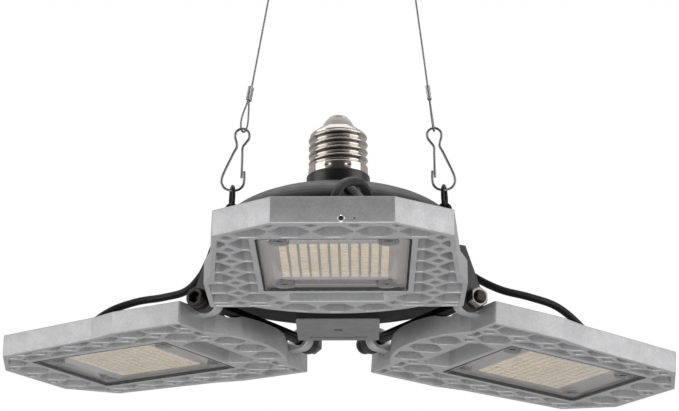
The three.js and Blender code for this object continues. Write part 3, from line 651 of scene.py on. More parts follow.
def cross_screw(x, y, z, radius):
    """A small screw seen from below: its head, and the cross recess as a dark cross of painted shade, not cut
    into the head.
    """
    height = 0.8
    profile = [(0, 0), (0.72 * radius, 0.04), (0.92 * radius, 0.22 * height), (radius, 0.6 * height),
               (radius, height), (0, height)]
    head = turned(rounded(profile, 0.15, 2, closed=False), 40)
    arm, width, inner = 0.55 * radius, 0.16 * radius, 0.18 * radius
    cross = []
    for k in range(4):
        c, s = math.cos(math.pi / 2 * k), math.sin(math.pi / 2 * k)
        for p, q in ((width, inner), (width, arm), (-width, arm), (-width, inner)):
            cross.append((p * c - q * s, p * s + q * c))
    mark = plate(cross[::-1], -0.05, 0.3, 0.02)
    place = Matrix.Translation((x, y, z))
    return moved(head, place), moved(mark, place)


screw_steel = surface("screw_steel", (0.30, 0.30, 0.31), 0.3, 1.0, grain=0.3, depth=0.006)
# The screws' cross recesses are not cut: dark crosses of painted shade stand in for them.
recess_painted_shade = surface("recess_painted_shade", (0.01, 0.01, 0.01), 0.6, grain=0.3, depth=0.004)
screws = []
for azimuth in (210, 330, 90):
    a = math.radians(azimuth)
    screws.append(cross_screw(SCREW_CIRCLE_R * math.cos(a), SCREW_CIRCLE_R * math.sin(a), RIM_Z - 0.55, 2.2))
heads, marks = zip(*screws)
for label, shells, finish in (("heads", heads, screw_steel), ("recess_shades", marks, recess_painted_shade)):
    piece = make_piece(f"cover_screw_{label}", joined(*shells), finish)
    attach(piece, "hub")


def recoat(node, finish):
    """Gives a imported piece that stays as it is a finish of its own."""
    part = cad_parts[node]
    part.data.materials.clear()
    part.data.materials.append(finish)
    return part


# Black rubber for the hub gasket; the same finish is the painted shade in the lens grooves.
gasket_rubber_and_groove_shade = surface("gasket_rubber_and_groove_shade", (0.010, 0.010, 0.010), 0.85, grain=0.5, depth=0.02)
recoat("hub_gasket", gasket_rubber_and_groove_shade)

# ---------------------------------------------------------------- driver inside the dome
# The power supply: a green circuit board with a tall can capacitor and a taped transformer.
# It sits closed in under the dome.
board_green = surface("board_green", (0.020, 0.120, 0.045), 0.35, grain=1.2, depth=0.02, mottle=0.2)
can_sleeve = surface("can_sleeve", (0.020, 0.025, 0.035), 0.3, grain=0.8, depth=0.006)
winding_tape = surface("winding_tape", (0.55, 0.36, 0.06), 0.45, grain=0.9, depth=0.02, mottle=0.12)
for node, finish in (("driver_board", board_green), ("driver_capacitor", can_sleeve),
                     ("driver_transformer", winding_tape)):
    ease = recoat(node, finish).modifiers.new("ease", "BEVEL")
    ease.width = 0.0003
    ease.segments = 2

# ---------------------------------------------------------------- sensor box
# A small square box under the cover: a black moulded body with drafted sides, closed from below
# by a grey lid that has a narrow slot and a round dark sensor window. A black strip set in the
# slot is painted shade that keeps the slot's inside dark.
BOX_HALF = 17.75
BOX_LOW = -9.1
BOX_TOP = RIM_Z - 0.3
BOX_DRAFT = 0.03
LID_THICK = 0.9
SLOT_HALF = (12.5, 0.95)
SLOT_Y = 12.2
SQUARE = ((-1, -1), (1, -1), (1, 1), (-1, 1))


def box_square(half, radius):
    """A square outline with rounded corners."""
    return rounded([(x * half, y * half) for x, y in SQUARE], radius, 6)


slot_outline = rounded([(x * SLOT_HALF[0], SLOT_Y + y * SLOT_HALF[1]) for x, y in SQUARE], 0.3, 3)
body_outline = box_square(BOX_HALF - 0.35, 1.4)
body_points, body_faces = plate(body_outline, BOX_LOW + LID_THICK, BOX_TOP, 0.2)
flare = []
for p in body_points:
    grow = 1 + BOX_DRAFT * (p.z - BOX_LOW) / (BOX_TOP - BOX_LOW)
    flare.append((p.x * grow, p.y * grow, p.z))
box_black = surface("box_black", (0.006, 0.0057, 0.006), 0.6, grain=0.7, depth=0.014, Specular_IOR_Level=0.25)
box = make_piece("sensor_box_body", (flare, body_faces), box_black)
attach(box, "hub")
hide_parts("driver_box")
box_plastic = surface("box_plastic", (0.145, 0.145, 0.15), 0.42, 0.1, grain=0.7, depth=0.014, mottle=0.08)
lid_shell = plate(box_square(BOX_HALF, 1.6), BOX_LOW, BOX_LOW + LID_THICK - 0.1, 0.25,
                  [slot_outline, circle(0, 0, 2)])
lid = make_piece("sensor_box_lid", lid_shell, box_plastic)
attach(lid, "hub")
window_black_and_slot_shade = surface("window_black_and_slot_shade", (0.006, 0.006, 0.007), 0.25, grain=2, depth=0.001, spread=0.02)
lens_dot = [(0, BOX_LOW + 0.1), (1.0, BOX_LOW + 0.15), (1.65, BOX_LOW + 0.4), (1.7, BOX_LOW + 0.8),
            (0, BOX_LOW + 0.8)]
dot = make_piece("sensor_window", turned(rounded(lens_dot, 0.3, 3, closed=False), 40), window_black_and_slot_shade)
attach(dot, "hub")
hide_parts("box_sensor")
# A black strip in the slot: painted shade for its inside. Its finish is the sensor window's black.
slot_shade_shell = plate(slot_outline, BOX_LOW + 0.12, BOX_LOW + 0.7, 0.05)
slot_shade = make_piece("sensor_slot_painted_shade", slot_shade_shell, window_black_and_slot_shade)
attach(slot_shade, "hub")

# ---------------------------------------------------------------- screw base
# A black moulded collar on the dome carries a nickel-plated screw shell with a rolled thread.
# The shell is fixed by punched dents, and ends in a moulded insulator with the centre contact.
COLLAR_LOW, COLLAR_R = 51.8, 14
NECK_R, NECK_TOP = 11.3, 78
SHELL_R, SHELL_LOW = 13.1, 60.6
THREAD_DEEP, THREAD_PITCH = 1.15, 3.63
THREAD_TOP, CONE_TOP = 79.3, 82.9
CONE_TOP_R = 7.9
PUNCH_Z = 62.3
SHELL_SIDES, SHELL_RISES = 144, 150
collar_profile = rounded([(0, COLLAR_LOW), (COLLAR_R, COLLAR_LOW), (COLLAR_R, SHELL_LOW - 0.3),
                          (NECK_R, SHELL_LOW - 0.3), (NECK_R, NECK_TOP), (0, NECK_TOP)], 0.7, 4, closed=False)
collar_plastic = surface("collar_plastic", (0.012, 0.012, 0.012), 0.34, grain=0.8, depth=0.008)
collar = make_piece("moulded_collar", turned(collar_profile, 96), collar_plastic)
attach(collar, "hub")
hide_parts("base_collar")


def shell_radius(angle, height):
    """The rolled thread: rounded ridges that climb one pitch each turn and fade at both ends."""
    if height > THREAD_TOP:
        share = (height - THREAD_TOP) / (CONE_TOP - THREAD_TOP)
        return SHELL_R - THREAD_DEEP * 0.6 - (SHELL_R - THREAD_DEEP * 0.6 - CONE_TOP_R) * share ** 1.15
    turn = (height - SHELL_LOW) / THREAD_PITCH - angle / (2 * math.pi)
    groove = 0.5 - 0.5 * math.cos(2 * math.pi * turn)
    fade = min(1, max(0, (height - SHELL_LOW - 3.2) / 1.6))
    top = min(1, max(0, (THREAD_TOP - height) / 1.2))
    radius = SHELL_R - THREAD_DEEP * (groove ** 0.85 * fade * top + 0.6 * (1 - top))
    for side in range(4):
        for lean in (-0.33, 0.33):
            away = (angle - side * math.pi / 2 + lean + math.pi) % (2 * math.pi) - math.pi
            reach = (away * SHELL_R / 0.75) ** 2 + ((height - PUNCH_Z) / 0.6) ** 2
            radius -= 0.45 * math.exp(-reach)
    return radius


turns = [2 * math.pi * k / SHELL_SIDES for k in range(SHELL_SIDES)]
shell_rings = []
for i in range(SHELL_RISES + 1):
    height = SHELL_LOW + (CONE_TOP - SHELL_LOW) * i / SHELL_RISES
    shell_rings += [(shell_radius(angle, height), angle, height) for angle in turns]
for radius, height in ((CONE_TOP_R - 0.6, CONE_TOP), (11.5, THREAD_TOP - 0.6), (11.5, SHELL_LOW)):
    shell_rings += [(radius, angle, height) for angle in turns]
shell_points = [(r * math.cos(angle), r * math.sin(angle), height) for r, angle, height in shell_rings]
shell_faces = ring_faces(len(shell_points) // SHELL_SIDES, SHELL_SIDES, closed=True)
nickel = surface("nickel", (0.60, 0.545, 0.50), 0.15, 1.0, grain=1.5, depth=0.003, mottle=0.08, spread=0.04)
cap = make_piece("threaded_shell", (shell_points, shell_faces), nickel)
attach(cap, "hub")
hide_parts("screw_shell")

insulator_profile = rounded([(0, 80.4), (7.1, 80.4), (7.1, CONE_TOP + 0.4), (6.5, 85), (5.4, 86.7),
                             (4.5, 87.3), (0, 87.3)], 1.0, 4, closed=False)
insulator_white = surface("insulator_white", (0.56, 0.52, 0.50), 0.4, grain=0.9, depth=0.012, mottle=0.06)
insulator = make_piece("cap_insulator", turned(insulator_profile, 80), insulator_white)
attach(insulator, "hub")
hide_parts("base_insulator")
contact_profile = rounded([(0, 86.8), (4.3, 86.8), (4.3, 87.9), (3.3, 88.6), (0, 88.8)], 0.5, 4, closed=False)
contact_tin = surface("contact_tin", (0.52, 0.48, 0.45), 0.4, 0.6, grain=0.6, depth=0.02, mottle=0.12)
contact = make_piece("tip_contact", turned(contact_profile, 60), contact_tin)
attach(contact, "hub")
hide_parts("centre_contact")

# ---------------------------------------------------------------- hinge bolts and nuts
# Each leaf hangs on one long socket-head bolt through the dome's ears and its own knuckles,
# with a hexagon nut at the far end. Plated steel, slightly bronzed.
PIN_R = 2.5
HEAD_R, HEAD_L = 4.25, 5
NUT_R, NUT_L = 4.6, 4
BOLT_END = -49.7
SOCKET_R, SOCKET_DEEP = 2.5, 2.8


def hexagon(radius):
    """Six corners at that radius."""
    return [(radius * math.cos(math.pi / 3 * k), radius * math.sin(math.pi / 3 * k)) for k in range(6)]


def lie_across(shell):
    """A piece drawn upright, laid along the hinge so that up becomes across."""
    return moved(shell, Matrix(((0, 0, 1, 0), (0, 1, 0, 0), (-1, 0, 0, 0), (0, 0, 0, 1))))


head_low = EAR_OUT + 0.3
shank = disc(PIN_R, BOLT_END, head_low + 0.2, 40, 0.5)
head = plate(arc(0, 0, HEAD_R, 0, 352.5, 47), -head_low - HEAD_L, -head_low, 0.5,
             pocket=(hexagon(SOCKET_R), -head_low - HEAD_L + SOCKET_DEEP))
flip = Matrix.Rotation(math.pi, 4, "X")
bolt_shell = joined(shank, moved(head, flip))
nut_shell = plate(rounded(hexagon(NUT_R), 1.5, 5), -head_low - NUT_L, -head_low, 0.45,
                  [circle(0, 0, PIN_R + 0.15)])
bolt_plate = surface("bolt_plate", (0.022, 0.020, 0.019), 0.22, 0.9, grain=0.5, depth=0.006, mottle=0.15)
nut_plate = surface("nut_plate", (0.20, 0.185, 0.175), 0.24, 1.0, grain=0.5, depth=0.006, mottle=0.12)
hinges = {}
for leaf_name, azimuth, _ in LEAVES:
    hinge = Matrix.Rotation(math.radians(azimuth), 4, "Z") @ Matrix.Translation((0, -HINGE_RHO, 0))
    hinges[leaf_name] = hinge
    bolt = make_piece(f"socket_bolt_{leaf_name}", lie_across(bolt_shell), bolt_plate, hinge)
    nut = make_piece(f"hex_nut_{leaf_name}", lie_across(nut_shell), nut_plate, hinge)
    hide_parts(f"hinge_bolt_{leaf_name}")
    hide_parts(f"hinge_nut_{leaf_name}")
    for piece in (bolt, nut):
        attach(piece, "hub")

# ---------------------------------------------------------------- leaf castings
# Three equal aluminium die castings. Each is a thick honeycomb of eight-sided cells with small
# diamonds where four cells meet, closed behind the LED window, with two knuckles at the hinge.
LEAF_TOP, LEAF_BOTTOM = -1.4, -11.3
LEAF_IN = 5.6
ARC_HALF, ARC_SAG = 33.6, 10.9
LEAF_HALF = 51.5
JOG_R = (40.9, 54.8)
JOG_HALF = 48.1
TIP_R, TIP_HALF = 107.6, 43.5
END_R, END_HALF = 124, 21.9
RIM = 2
WINDOW_HALF, WINDOW_NEAR, WINDOW_FAR = 28.4, 30, 103.5
WINDOW_DEEP = 4.8
WINDOW_FRAME = 2.3
PITCH = 15.5
NODE_R = 11.6
CELL_HALF, CELL_FLAT, CELL_TIP = 7.05, 2.8, 1.2
DIAMOND = (2.5, 3.4)
EDGE = 0.4
KNUCKLE_R = 4.9
KNUCKLE_IN, KNUCKLE_OUT = 34, 39.6
GROOVE_R = 3.1
LEAF_GLAND = (0.5, 96.4)
LEAF_BOSS_R = 5.2
CELL_EASE, DIAMOND_EASE = 1.3, 0.55
SMALL_CELL, LEAST_CELL = 30, 4
arc_r = (ARC_HALF ** 2 + ARC_SAG ** 2) / (2 * ARC_SAG)
arc_middle = LEAF_IN - ARC_SAG + arc_r
arc_reach = math.degrees(math.asin(ARC_HALF / arc_r))
hub_side = arc(0, arc_middle, arc_r, -90 - arc_reach, -90 + arc_reach, 48)
corners = [(LEAF_HALF, LEAF_IN), (LEAF_HALF, JOG_R[0]), (JOG_HALF, JOG_R[1]), (TIP_HALF, TIP_R),
           (END_HALF, END_R)]
leaf_outline = rounded([*hub_side, *corners, *[(-t, r) for t, r in corners[::-1]]], 0.9, 3)


def clip(loop, side):
    """Keeps the part of an outline where a*x + b*y is at most c."""
    a, b, c = side
    kept = []
    for i, p in enumerate(loop):
        q = loop[(i + 1) % len(loop)]
        here, there = a * p[0] + b * p[1] - c, a * q[0] + b * q[1] - c
        if here <= 0:
            kept.append(p)
        if here * there < 0:
            s = here / (here - there)
            kept.append((p[0] + s * (q[0] - p[0]), p[1] + s * (q[1] - p[1])))
    return kept


def rim_side(p, q):
    """The line through two corners, moved in by the rim."""
    long = math.hypot(q[0] - p[0], q[1] - p[1])
    a, b = (q[1] - p[1]) / long, -(q[0] - p[0]) / long
    return a, b, a * p[0] + b * p[1] - RIM


jog, flank, tip = [rim_side(p, q) for p, q in zip(corners[1:], corners[2:])]


def limits(r):
    """The rim lines that can cut a cell at that distance from the hinge."""
    if r < 45:
        near = [(1, 0, LEAF_HALF - RIM), jog]
    else:
        near = [jog, flank] if r < 60 else [flank]
    return [*near, tip, (0, 1, END_R - RIM)]


def octagon(t, r):
    """One whole cell of the honeycomb about that place."""
    quarter = [(CELL_HALF, CELL_TIP), (CELL_FLAT, CELL_HALF)]
    loop = [*quarter, *[(-x, y) for x, y in quarter[::-1]]]
    loop += [(-x, -y) for x, y in loop]
    return [(t + x, r + y) for x, y in loop]


cells = []


def add_cell(loop, both=True):
    """Adds an opening, and its twin on the other side of the middle."""
    if len(loop) > 2 and abs(run(loop)) / 2 > LEAST_CELL:
        cells.append(loop)
        if both:
            cells.append([(-t, r) for t, r in loop])


for row in range(7):
    r = NODE_R + PITCH * (row + 0.5)
    for column in (1, 2, 3):
        cell = octagon(column * PITCH, r)
        for limit in limits(r):
            cell = clip(cell, limit)
        if r > WINDOW_FAR:
            cell = clip(cell, (0, -1, -WINDOW_FAR - WINDOW_FRAME))
        elif r > WINDOW_NEAR:
            cell = clip(cell, (-1, 0, -WINDOW_HALF - WINDOW_FRAME))
        elif column == 1:
            cell = []
        add_cell(cell)
for row in range(8):
    r = NODE_R + PITCH * row
    for node in (0.5, 1.5, 2.5):
        t = node * PITCH
        beside = t < WINDOW_HALF + WINDOW_FRAME
        beside = beside and WINDOW_NEAR - WINDOW_FRAME - DIAMOND[1] < r < WINDOW_FAR + WINDOW_FRAME + 0.4
        hole = []
        if not beside:
            hole = [(t + DIAMOND[0], r), (t, r + DIAMOND[1]), (t - DIAMOND[0], r), (t, r - DIAMOND[1])]
        for limit in limits(r):
            hole = clip(hole, limit)
        if node > 1 or row > 0:
            add_cell(hole)
end_cell = clip(octagon(0, NODE_R + PITCH * 6.5), (0, -1, -WINDOW_FAR - WINDOW_FRAME))
add_cell(clip(end_cell, (0, 1, END_R - RIM)), both=False)

# The long opening at the hub side of the window, the cells along the hub's curve, and a short
# pair of openings at each end of the hinge.
half_slot = [(19, NODE_R + 2.6), (22.4, NODE_R + 6.6), (18.5, WINDOW_NEAR - WINDOW_FRAME)]
add_cell([*half_slot[1:], *[(-t, r) for t, r in half_slot[::-1]], half_slot[0]], both=False)
for column in (0, 1):
    cell = octagon(column * PITCH, NODE_R - PITCH / 2)
    for step in range(13):
        angle = math.radians(-arc_reach + 2 * arc_reach * step / 12)
        across, inward = math.sin(angle), -math.cos(angle)
        cell = clip(cell, (across, inward, inward * arc_middle + arc_r - RIM))
    add_cell(cell, both=column > 0)
add_cell([(36.2, 7.6), (33.8, 10.9), (28.2, 10.9), (25.8, 7.6)])
add_cell([(49.5, 7.6), (49.4, 10.9), (43.7, 10.9), (41.3, 7.6)])


def drawn(loop, radius=1.1, steps=3):
    """An outline drawn outwards from the hinge, laid down with outwards along minus y."""
    return [Vector((t, -r)) for t, r in rounded(loop, radius, steps)]


def window_loop(inset, radius):
    """The window's outline, drawn smaller by the inset."""
    half, near, far = WINDOW_HALF - inset, WINDOW_NEAR + inset, WINDOW_FAR - inset
    return drawn([(-half, near), (half, near), (half, far), (-half, far)], radius, 4)


casting = plate([Vector((p.x, -p.y)) for p in leaf_outline], LEAF_BOTTOM, LEAF_TOP, EDGE,
                [drawn(c, DIAMOND_EASE if abs(run(c)) / 2 < SMALL_CELL else CELL_EASE) for c in cells],
                pocket=(window_loop(0, 1.2), LEAF_BOTTOM + WINDOW_DEEP))
knuckle_outline = [*arc(0, 0, KNUCKLE_R, 28, 262, 34), (7.4, -5.4), (7.4, -0.8), (5.2, -0.8)]
eye = plate(rounded(knuckle_outline, 0.4, 2), 0, KNUCKLE_OUT - KNUCKLE_IN, 0.4, [circle(0, 0, PIN_HOLE_R)])
knuckles = [stand_across(eye, near) for near in (KNUCKLE_IN, -KNUCKLE_OUT)]
gland_t, gland_r = LEAF_GLAND
boss = disc(LEAF_BOSS_R, LEAF_TOP - 1, LEAF_TOP + 1, 48, 0.4)
knuckles.append(moved(boss, Matrix.Translation((gland_t, -gland_r, 0))))
groove = lie_across(disc(GROOVE_R, -ARC_HALF - 3, ARC_HALF + 3, 40))
leaf_metal = surface("leaf_metal", (0.44, 0.44, 0.447), 0.46, 0.55, grain=0.9, depth=0.03, mottle=0.045,
                     speckle=0.06)


def cut_out(piece, cutter):
    """Cuts a shape out of the casting for good."""
    tool = make_piece("cutter", cutter, leaf_metal)
    cut = piece.modifiers.new("cut", "BOOLEAN")
    cut.operation = "DIFFERENCE"
    cut.solver = "EXACT"
    cut.object = tool
    bpy.context.view_layer.update()
    done = bpy.data.meshes.new_from_object(piece.evaluated_get(bpy.context.evaluated_depsgraph_get()))
    piece.modifiers.clear()
    done.set_sharp_from_angle(angle=math.radians(CREASE))
    piece.data = done
    bpy.data.objects.remove(tool)


pattern = make_piece("leaf_pattern", casting, leaf_metal)
cut_out(pattern, groove)
extras = make_piece("leaf_extras", joined(*knuckles), leaf_metal)
lift = Matrix.Translation((0, 0, PIN_HEIGHT / 1000))
leaf_places = {}
for leaf_name, _, tilt in LEAVES:
    place = hinges[leaf_name] @ Matrix.Rotation(math.radians(-tilt), 4, "X")
    leaf_places[leaf_name] = place
    small = Matrix(place)
    small.translation = place.translation / 1000
    for label, source in (("casting", pattern), ("knuckles", extras)):
        mesh = source.data.copy()
        mesh.transform(lift @ small @ lift.inverted())
        piece = bpy.data.objects.new(f"leaf_{label}_{leaf_name}", mesh)
        bpy.context.scene.collection.objects.link(piece)
        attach(piece, f"leaf_{leaf_name}")
        if label == "casting":
            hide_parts(f"leaf_frame_{leaf_name}")
bpy.data.objects.remove(pattern)
bpy.data.objects.remove(extras)

# ---------------------------------------------------------------- end eyelets
# A small plated eyelet in each leaf's end wall, low down, with a pin mark beside it. Neither hole
# is cut: a dark disc in each is painted shade for its inside.
END_EYELET = (3, -9.5)
PIN_MARK = (7.6, -9.6)
eyelet = rounded([(0.8, -0.5), (1.4, -0.5), (1.4, 0.05), (1.15, 0.2), (0.8, 0.05)], 0.1, 3)
eyelet_plate = surface("eyelet_plate", (0.62, 0.62, 0.62), 0.3, 1.0, grain=0.4, depth=0.004)
# Dark discs that fill the eyelet's hole and the pin mark: painted shade for the holes' insides.
bore_painted_shade = surface("bore_painted_shade", (0.008, 0.008, 0.008), 0.7, grain=0.4, depth=0.004)
outwards = Matrix.Rotation(math.pi / 2, 4, "X")
eyelet_place = Matrix.Translation((END_EYELET[0], -END_R, END_EYELET[1])) @ outwards
mark_place = Matrix.Translation((PIN_MARK[0], -END_R, PIN_MARK[1])) @ outwards
eyelet_shell = moved(turned(eyelet, 36, closed=True), eyelet_place)
bore_shade_shell = joined(moved(disc(0.85, -0.4, 0.03, 24), eyelet_place),
                    moved(disc(0.3, -0.4, 0.03, 16), mark_place))
for leaf_name, place in leaf_places.items():
    for label, shell, finish in (("eyelet", eyelet_shell, eyelet_plate), ("bore", bore_shade_shell, bore_painted_shade)):
        piece = make_piece(f"leaf_end_{label}_{leaf_name}", shell, finish, place)
        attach(piece, f"leaf_{leaf_name}")

# ---------------------------------------------------------------- LED boards
# A white-coated aluminium circuit board in each window, with eleven columns of twelve
# surface-mount LEDs: a small white package round a square of cream phosphor.
LENS_THICK = 2.4
BOARD_LOW = LEAF_BOTTOM + LENS_THICK + 0.3
BOARD_THICK = 1.4
LED_WIDE, LED_LONG, LED_HIGH = 2.8, 2.95, 0.65
LED_PITCH = (3.8, 3.75)
LED_COLUMNS, LED_ROWS = 11, 12
LED_MIDDLE_R = (WINDOW_NEAR + WINDOW_FAR) / 2
PHOSPHOR = (1.2, 1.28)
BOARD_GAP = 0.6


def led(t, r):
    """One LED that faces down: its package and the phosphor in its cup."""
    base, face = BOARD_LOW, BOARD_LOW - LED_HIGH
    half = ((LED_WIDE / 2, LED_LONG / 2), (LED_WIDE / 2 - 0.1, LED_LONG / 2 - 0.1), PHOSPHOR)
    levels = ((base, half[0]), (face + 0.1, half[0]), (face, half[1]), (face, half[2]),
              (face + 0.08, half[2]))
    points, faces = [], []
    for level, (x, y) in levels:
        points += [(t + sx * x, -r + sy * y, level) for sx, sy in SQUARE]
    for i in range(len(levels) - 1):
        for k in range(4):
            nxt = (k + 1) % 4
            faces.append([i * 4 + k, (i + 1) * 4 + k, (i + 1) * 4 + nxt, i * 4 + nxt])
    faces.append([0, 1, 2, 3])
    x, y = PHOSPHOR
    cup = plate([(t + sx * x, -r + sy * y) for sx, sy in SQUARE], face + 0.02, face + 0.1, 0.01)
    return (points, faces), cup


board_white = surface("board_white", (0.36, 0.335, 0.335), 0.42, grain=0.8, depth=0.012, mottle=0.05)
led_package = surface("led_package", (0.78, 0.74, 0.68), 0.4, grain=0.5, depth=0.004)
led_phosphor = surface("led_phosphor", (0.84, 0.66, 0.44), 0.5, grain=0.12, depth=0.01, mottle=0.08)
board_shell = plate(window_loop(BOARD_GAP, 1.0), BOARD_LOW, BOARD_LOW + BOARD_THICK, 0.1)
packages, cups = [], []
for column in range(LED_COLUMNS):
    for row in range(LED_ROWS):
        package, cup = led((column - (LED_COLUMNS - 1) / 2) * LED_PITCH[0],
                           LED_MIDDLE_R + (row - (LED_ROWS - 1) / 2) * LED_PITCH[1])
        packages.append(package)
        cups.append(cup)
for leaf_name, place in leaf_places.items():
    board = make_piece(f"led_panel_{leaf_name}", board_shell, board_white, place)
    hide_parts(f"led_board_{leaf_name}")
    lights = make_piece(f"led_packages_{leaf_name}", joined(*packages), led_package, place)
    glow = make_piece(f"led_phosphor_{leaf_name}", joined(*cups), led_phosphor, place)
    for piece in (board, lights, glow):
        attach(piece, f"leaf_{leaf_name}")

# ---------------------------------------------------------------- lenses and their screws
# A clear moulded cover over each board, set flush in the window. A thin black ring in the gap
# round it is painted shade for the dark groove there. Four cross-head screws sit in round wells
# near its corners and hold it down.
LENS_GAP = 0.75
LENS_BORDER = 0.8
LENS_SLOPE = 1.6
PANEL_SINK = 0.9
PANEL_THICK = 0.8
WELLS = [(-20, 36), (20, 36), (-20, 96), (20, 96)]
WELL_R = 4.0
FRONT_SHINE = 0.9
clear = bpy.data.materials.new("clear_cover")
clear.use_nodes = True
tree = clear.node_tree
tree.nodes.clear()
out = add_node(tree, "OutputMaterial")
see_through = add_node(tree, "BsdfTransparent", Color=(0.97, 0.97, 0.965, 1))
shine = add_node(tree, "BsdfGlossy", Color=(1, 1, 1, 1), Roughness=0.06)
edge_on = add_node(tree, "Fresnel", IOR=1.46)
side_seen = add_node(tree, "NewGeometry")
front_only = add_node(tree, "Math")
front_only.operation = "MULTIPLY_ADD"
front_only.inputs[1].default_value = -FRONT_SHINE
front_only.inputs[2].default_value = FRONT_SHINE
tree.links.new(side_seen.outputs["Backfacing"], front_only.inputs[0])
shine_share = add_node(tree, "Math")
shine_share.operation = "MULTIPLY"
tree.links.new(edge_on.outputs["Fac"], shine_share.inputs[0])
tree.links.new(front_only.outputs["Value"], shine_share.inputs[1])
mix = add_node(tree, "MixShader")
tree.links.new(shine_share.outputs["Value"], mix.inputs["Fac"])
tree.links.new(see_through.outputs["BSDF"], mix.inputs[1])
tree.links.new(shine.outputs["BSDF"], mix.inputs[2])
tree.links.new(mix.outputs["Shader"], out.inputs["Surface"])
well_plastic = surface("well_plastic", (0.24, 0.235, 0.235), 0.35, grain=0.5, depth=0.006)
well_holes = [arc(t, -r, WELL_R, 0, 350, 35) for t, r in WELLS]
lens_shell = plate(window_loop(LENS_GAP, 1.0), LEAF_BOTTOM, LEAF_BOTTOM + PANEL_SINK + PANEL_THICK, 0.2,
                   pocket=(window_loop(LENS_GAP + LENS_BORDER, 2.4), LEAF_BOTTOM + PANEL_SINK),
                   floor_through=well_holes, slope=LENS_SLOPE)
well_low = LEAF_BOTTOM + PANEL_SINK - 0.15
well_profile = [(WELL_R - 0.1, well_low), (WELL_R - 0.35, well_low), (WELL_R - 0.8, BOARD_LOW - 0.25),
                (0, BOARD_LOW - 0.25), (0, BOARD_LOW - 0.05), (WELL_R - 0.1, BOARD_LOW - 0.05),
                (WELL_R - 0.1, well_low)]
# A black ring filling the gap between lens and window: painted shade for the groove.
groove_shade_shell = plate(window_loop(0.05, 1.2), LEAF_BOTTOM + 0.12, LEAF_BOTTOM + PANEL_SINK + PANEL_THICK, 0.12,
                   [window_loop(LENS_GAP - 0.05, 0.9)])
wells = [moved(turned(well_profile, 48), Matrix.Translation((t, -r, 0))) for t, r in WELLS]
# The cross recesses of these screws are dark crosses of painted shade too.
heads, marks = zip(*[cross_screw(t, -r, BOARD_LOW - 1.05, 2.7) for t, r in WELLS])
for leaf_name, place in leaf_places.items():
    lens = make_piece(f"clear_lens_{leaf_name}", lens_shell, clear, place)
    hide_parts(f"led_lens_{leaf_name}")
    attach(lens, f"leaf_{leaf_name}")
    for label, shells, finish, slot in (("wells", wells, well_plastic, "lens"),
                                        ("screw_heads", heads, screw_steel, "bolt_steel"),
                                        ("screw_recess_shades", marks, recess_painted_shade, "bolt_steel"),
                                        ("groove_shade", [groove_shade_shell], gasket_rubber_and_groove_shade, "gasket")):
        piece = make_piece(f"lens_{label}_{leaf_name}", joined(*shells), finish, place)
        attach(piece, f"leaf_{leaf_name}")

# ---------------------------------------------------------------- lead glands
# Moulded black glands, one in the dome and one in the leaf's back for each lead: a knurled ring
# with a tapered lip that grips the lead.
GLAND_R = 4.2
GLAND_LONG = 5
LEAD_HOLE_R = 2.0
KNURLS, KNURL_DEPTH = 16, 0.03
gland_profile = rounded([(LEAD_HOLE_R, -GLAND_LONG / 2), (GLAND_R, -GLAND_LONG / 2), (GLAND_R, 0.6),
                         (3.1, GLAND_LONG / 2), (LEAD_HOLE_R, GLAND_LONG / 2)], 0.4, 3)
gland_shell = turned(gland_profile, 96, closed=True)
for p in gland_shell[0]:
    reach = math.hypot(p.x, p.y)
    if reach > GLAND_R - 0.3:
        grip = 1 - KNURL_DEPTH * (0.5 - 0.5 * math.cos(KNURLS * math.atan2(p.y, p.x)))
        p.x, p.y = p.x * grip, p.y * grip
gland_plastic = surface("gland_plastic", (0.014, 0.014, 0.015), 0.5, grain=0.5, depth=0.01)
hub_seat = Matrix.Translation((GLAND_X, -(DOME_R + BOSS_OUT + 0.3 + GLAND_LONG / 2), GLAND_Z))
hub_seat = hub_seat @ Matrix.Rotation(math.pi / 2, 4, "X")
leaf_seat = Matrix.Translation((gland_t, -gland_r, LEAF_TOP + 1.3 + GLAND_LONG / 2))
for leaf_name, azimuth, _ in LEAVES:
    hub_place = Matrix.Rotation(math.radians(azimuth), 4, "Z") @ hub_seat
    leaf_place = leaf_places[leaf_name] @ leaf_seat
    for where, place, body in (("hub", hub_place, "hub"), ("leaf", leaf_place, f"leaf_{leaf_name}")):
        gland = make_piece(f"lead_gland_{where}_{leaf_name}", gland_shell, gland_plastic, place)
        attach(gland, body)
        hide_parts(f"{where}_gland_{leaf_name}")

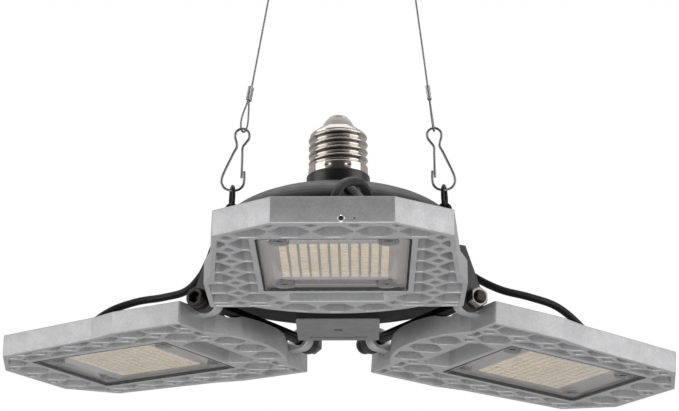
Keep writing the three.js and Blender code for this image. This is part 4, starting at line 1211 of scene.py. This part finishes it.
# ---------------------------------------------------------------- studio
# A plain white room: a pale floor well below the lamp, a white surround that is darker on the
# camera's side, large soft boxes at both sides and above, and a small one low in front.
FLOOR_Z, FLOOR_HALF = -1.4, 9
floor_paint = surface("floor_paint", (0.80, 0.80, 0.80), 0.8, grain=4, depth=0.05, mottle=0.01)
floor_mesh = bpy.data.meshes.new("floor")
floor_mesh.from_pydata([(x * FLOOR_HALF, y * FLOOR_HALF, FLOOR_Z) for x, y in SQUARE], [], [[0, 1, 2, 3]])
floor_mesh.materials.append(floor_paint)
floor = bpy.data.objects.new("floor", floor_mesh)
bpy.context.scene.collection.objects.link(floor)
floor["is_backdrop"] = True
LAMP_MIDDLE = Vector((0, 0, -0.15))
DIM_WAY = (0, -0.95, 0.31)
SOFT_BOXES = [
    ("left", (-1.7, -0.5, 0.1), (1.4, 1.8), 13),
    ("right", (1.7, -0.5, 0.1), (1.4, 1.8), 14.5),
    ("above", (0, 0.5, 1.6), (2.0, 2.0), 12),
    ("low", (0, -1.3, -1.25), (0.9, 0.6), 13),
]
for box_name, place, size, power in SOFT_BOXES:
    light = bpy.data.lights.new(f"soft_box_{box_name}", "AREA")
    light.shape = "RECTANGLE"
    light.size, light.size_y = size
    light.energy = power
    lamp = bpy.data.objects.new(f"soft_box_{box_name}", light)
    lamp.location = place
    aim = LAMP_MIDDLE - Vector(place)
    lamp.rotation_euler = aim.to_track_quat("-Z", "Y").to_euler()
    lamp.visible_camera = False
    bpy.context.scene.collection.objects.link(lamp)
world = bpy.data.worlds.new("white_room")
world.use_nodes = True
bpy.context.scene.world = world
tree = world.node_tree
surround = tree.nodes["Background"]
surround.inputs["Color"].default_value = (1, 1, 1, 1)
where = add_node(tree, "TexCoord")
dim_side = add_node(tree, "VectorMath")
dim_side.operation = "DOT_PRODUCT"
dim_side.inputs[1].default_value = DIM_WAY
dim = add_node(tree, "MapRange", From_Min=0.62, From_Max=0.97, To_Min=0.50, To_Max=0.06)
dim.interpolation_type = "SMOOTHSTEP"
tree.links.new(where.outputs["Generated"], dim_side.inputs[0])
tree.links.new(dim_side.outputs["Value"], dim.inputs["Value"])
tree.links.new(dim.outputs["Result"], surround.inputs["Strength"])
backdrop = add_node(tree, "Background", Color=(1, 1, 1, 1), Strength=1.0)
seen = add_node(tree, "LightPath")
either = add_node(tree, "MixShader")
tree.links.new(seen.outputs["Is Camera Ray"], either.inputs["Fac"])
tree.links.new(surround.outputs["Background"], either.inputs[1])
tree.links.new(backdrop.outputs["Background"], either.inputs[2])
tree.links.new(either.outputs["Shader"], tree.nodes["World Output"].inputs["Surface"])
bpy.context.scene.view_settings.view_transform = "Standard"

# ---------------------------------------------------------------- size
# The box round all the pieces shown, the floor left out.
low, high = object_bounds()
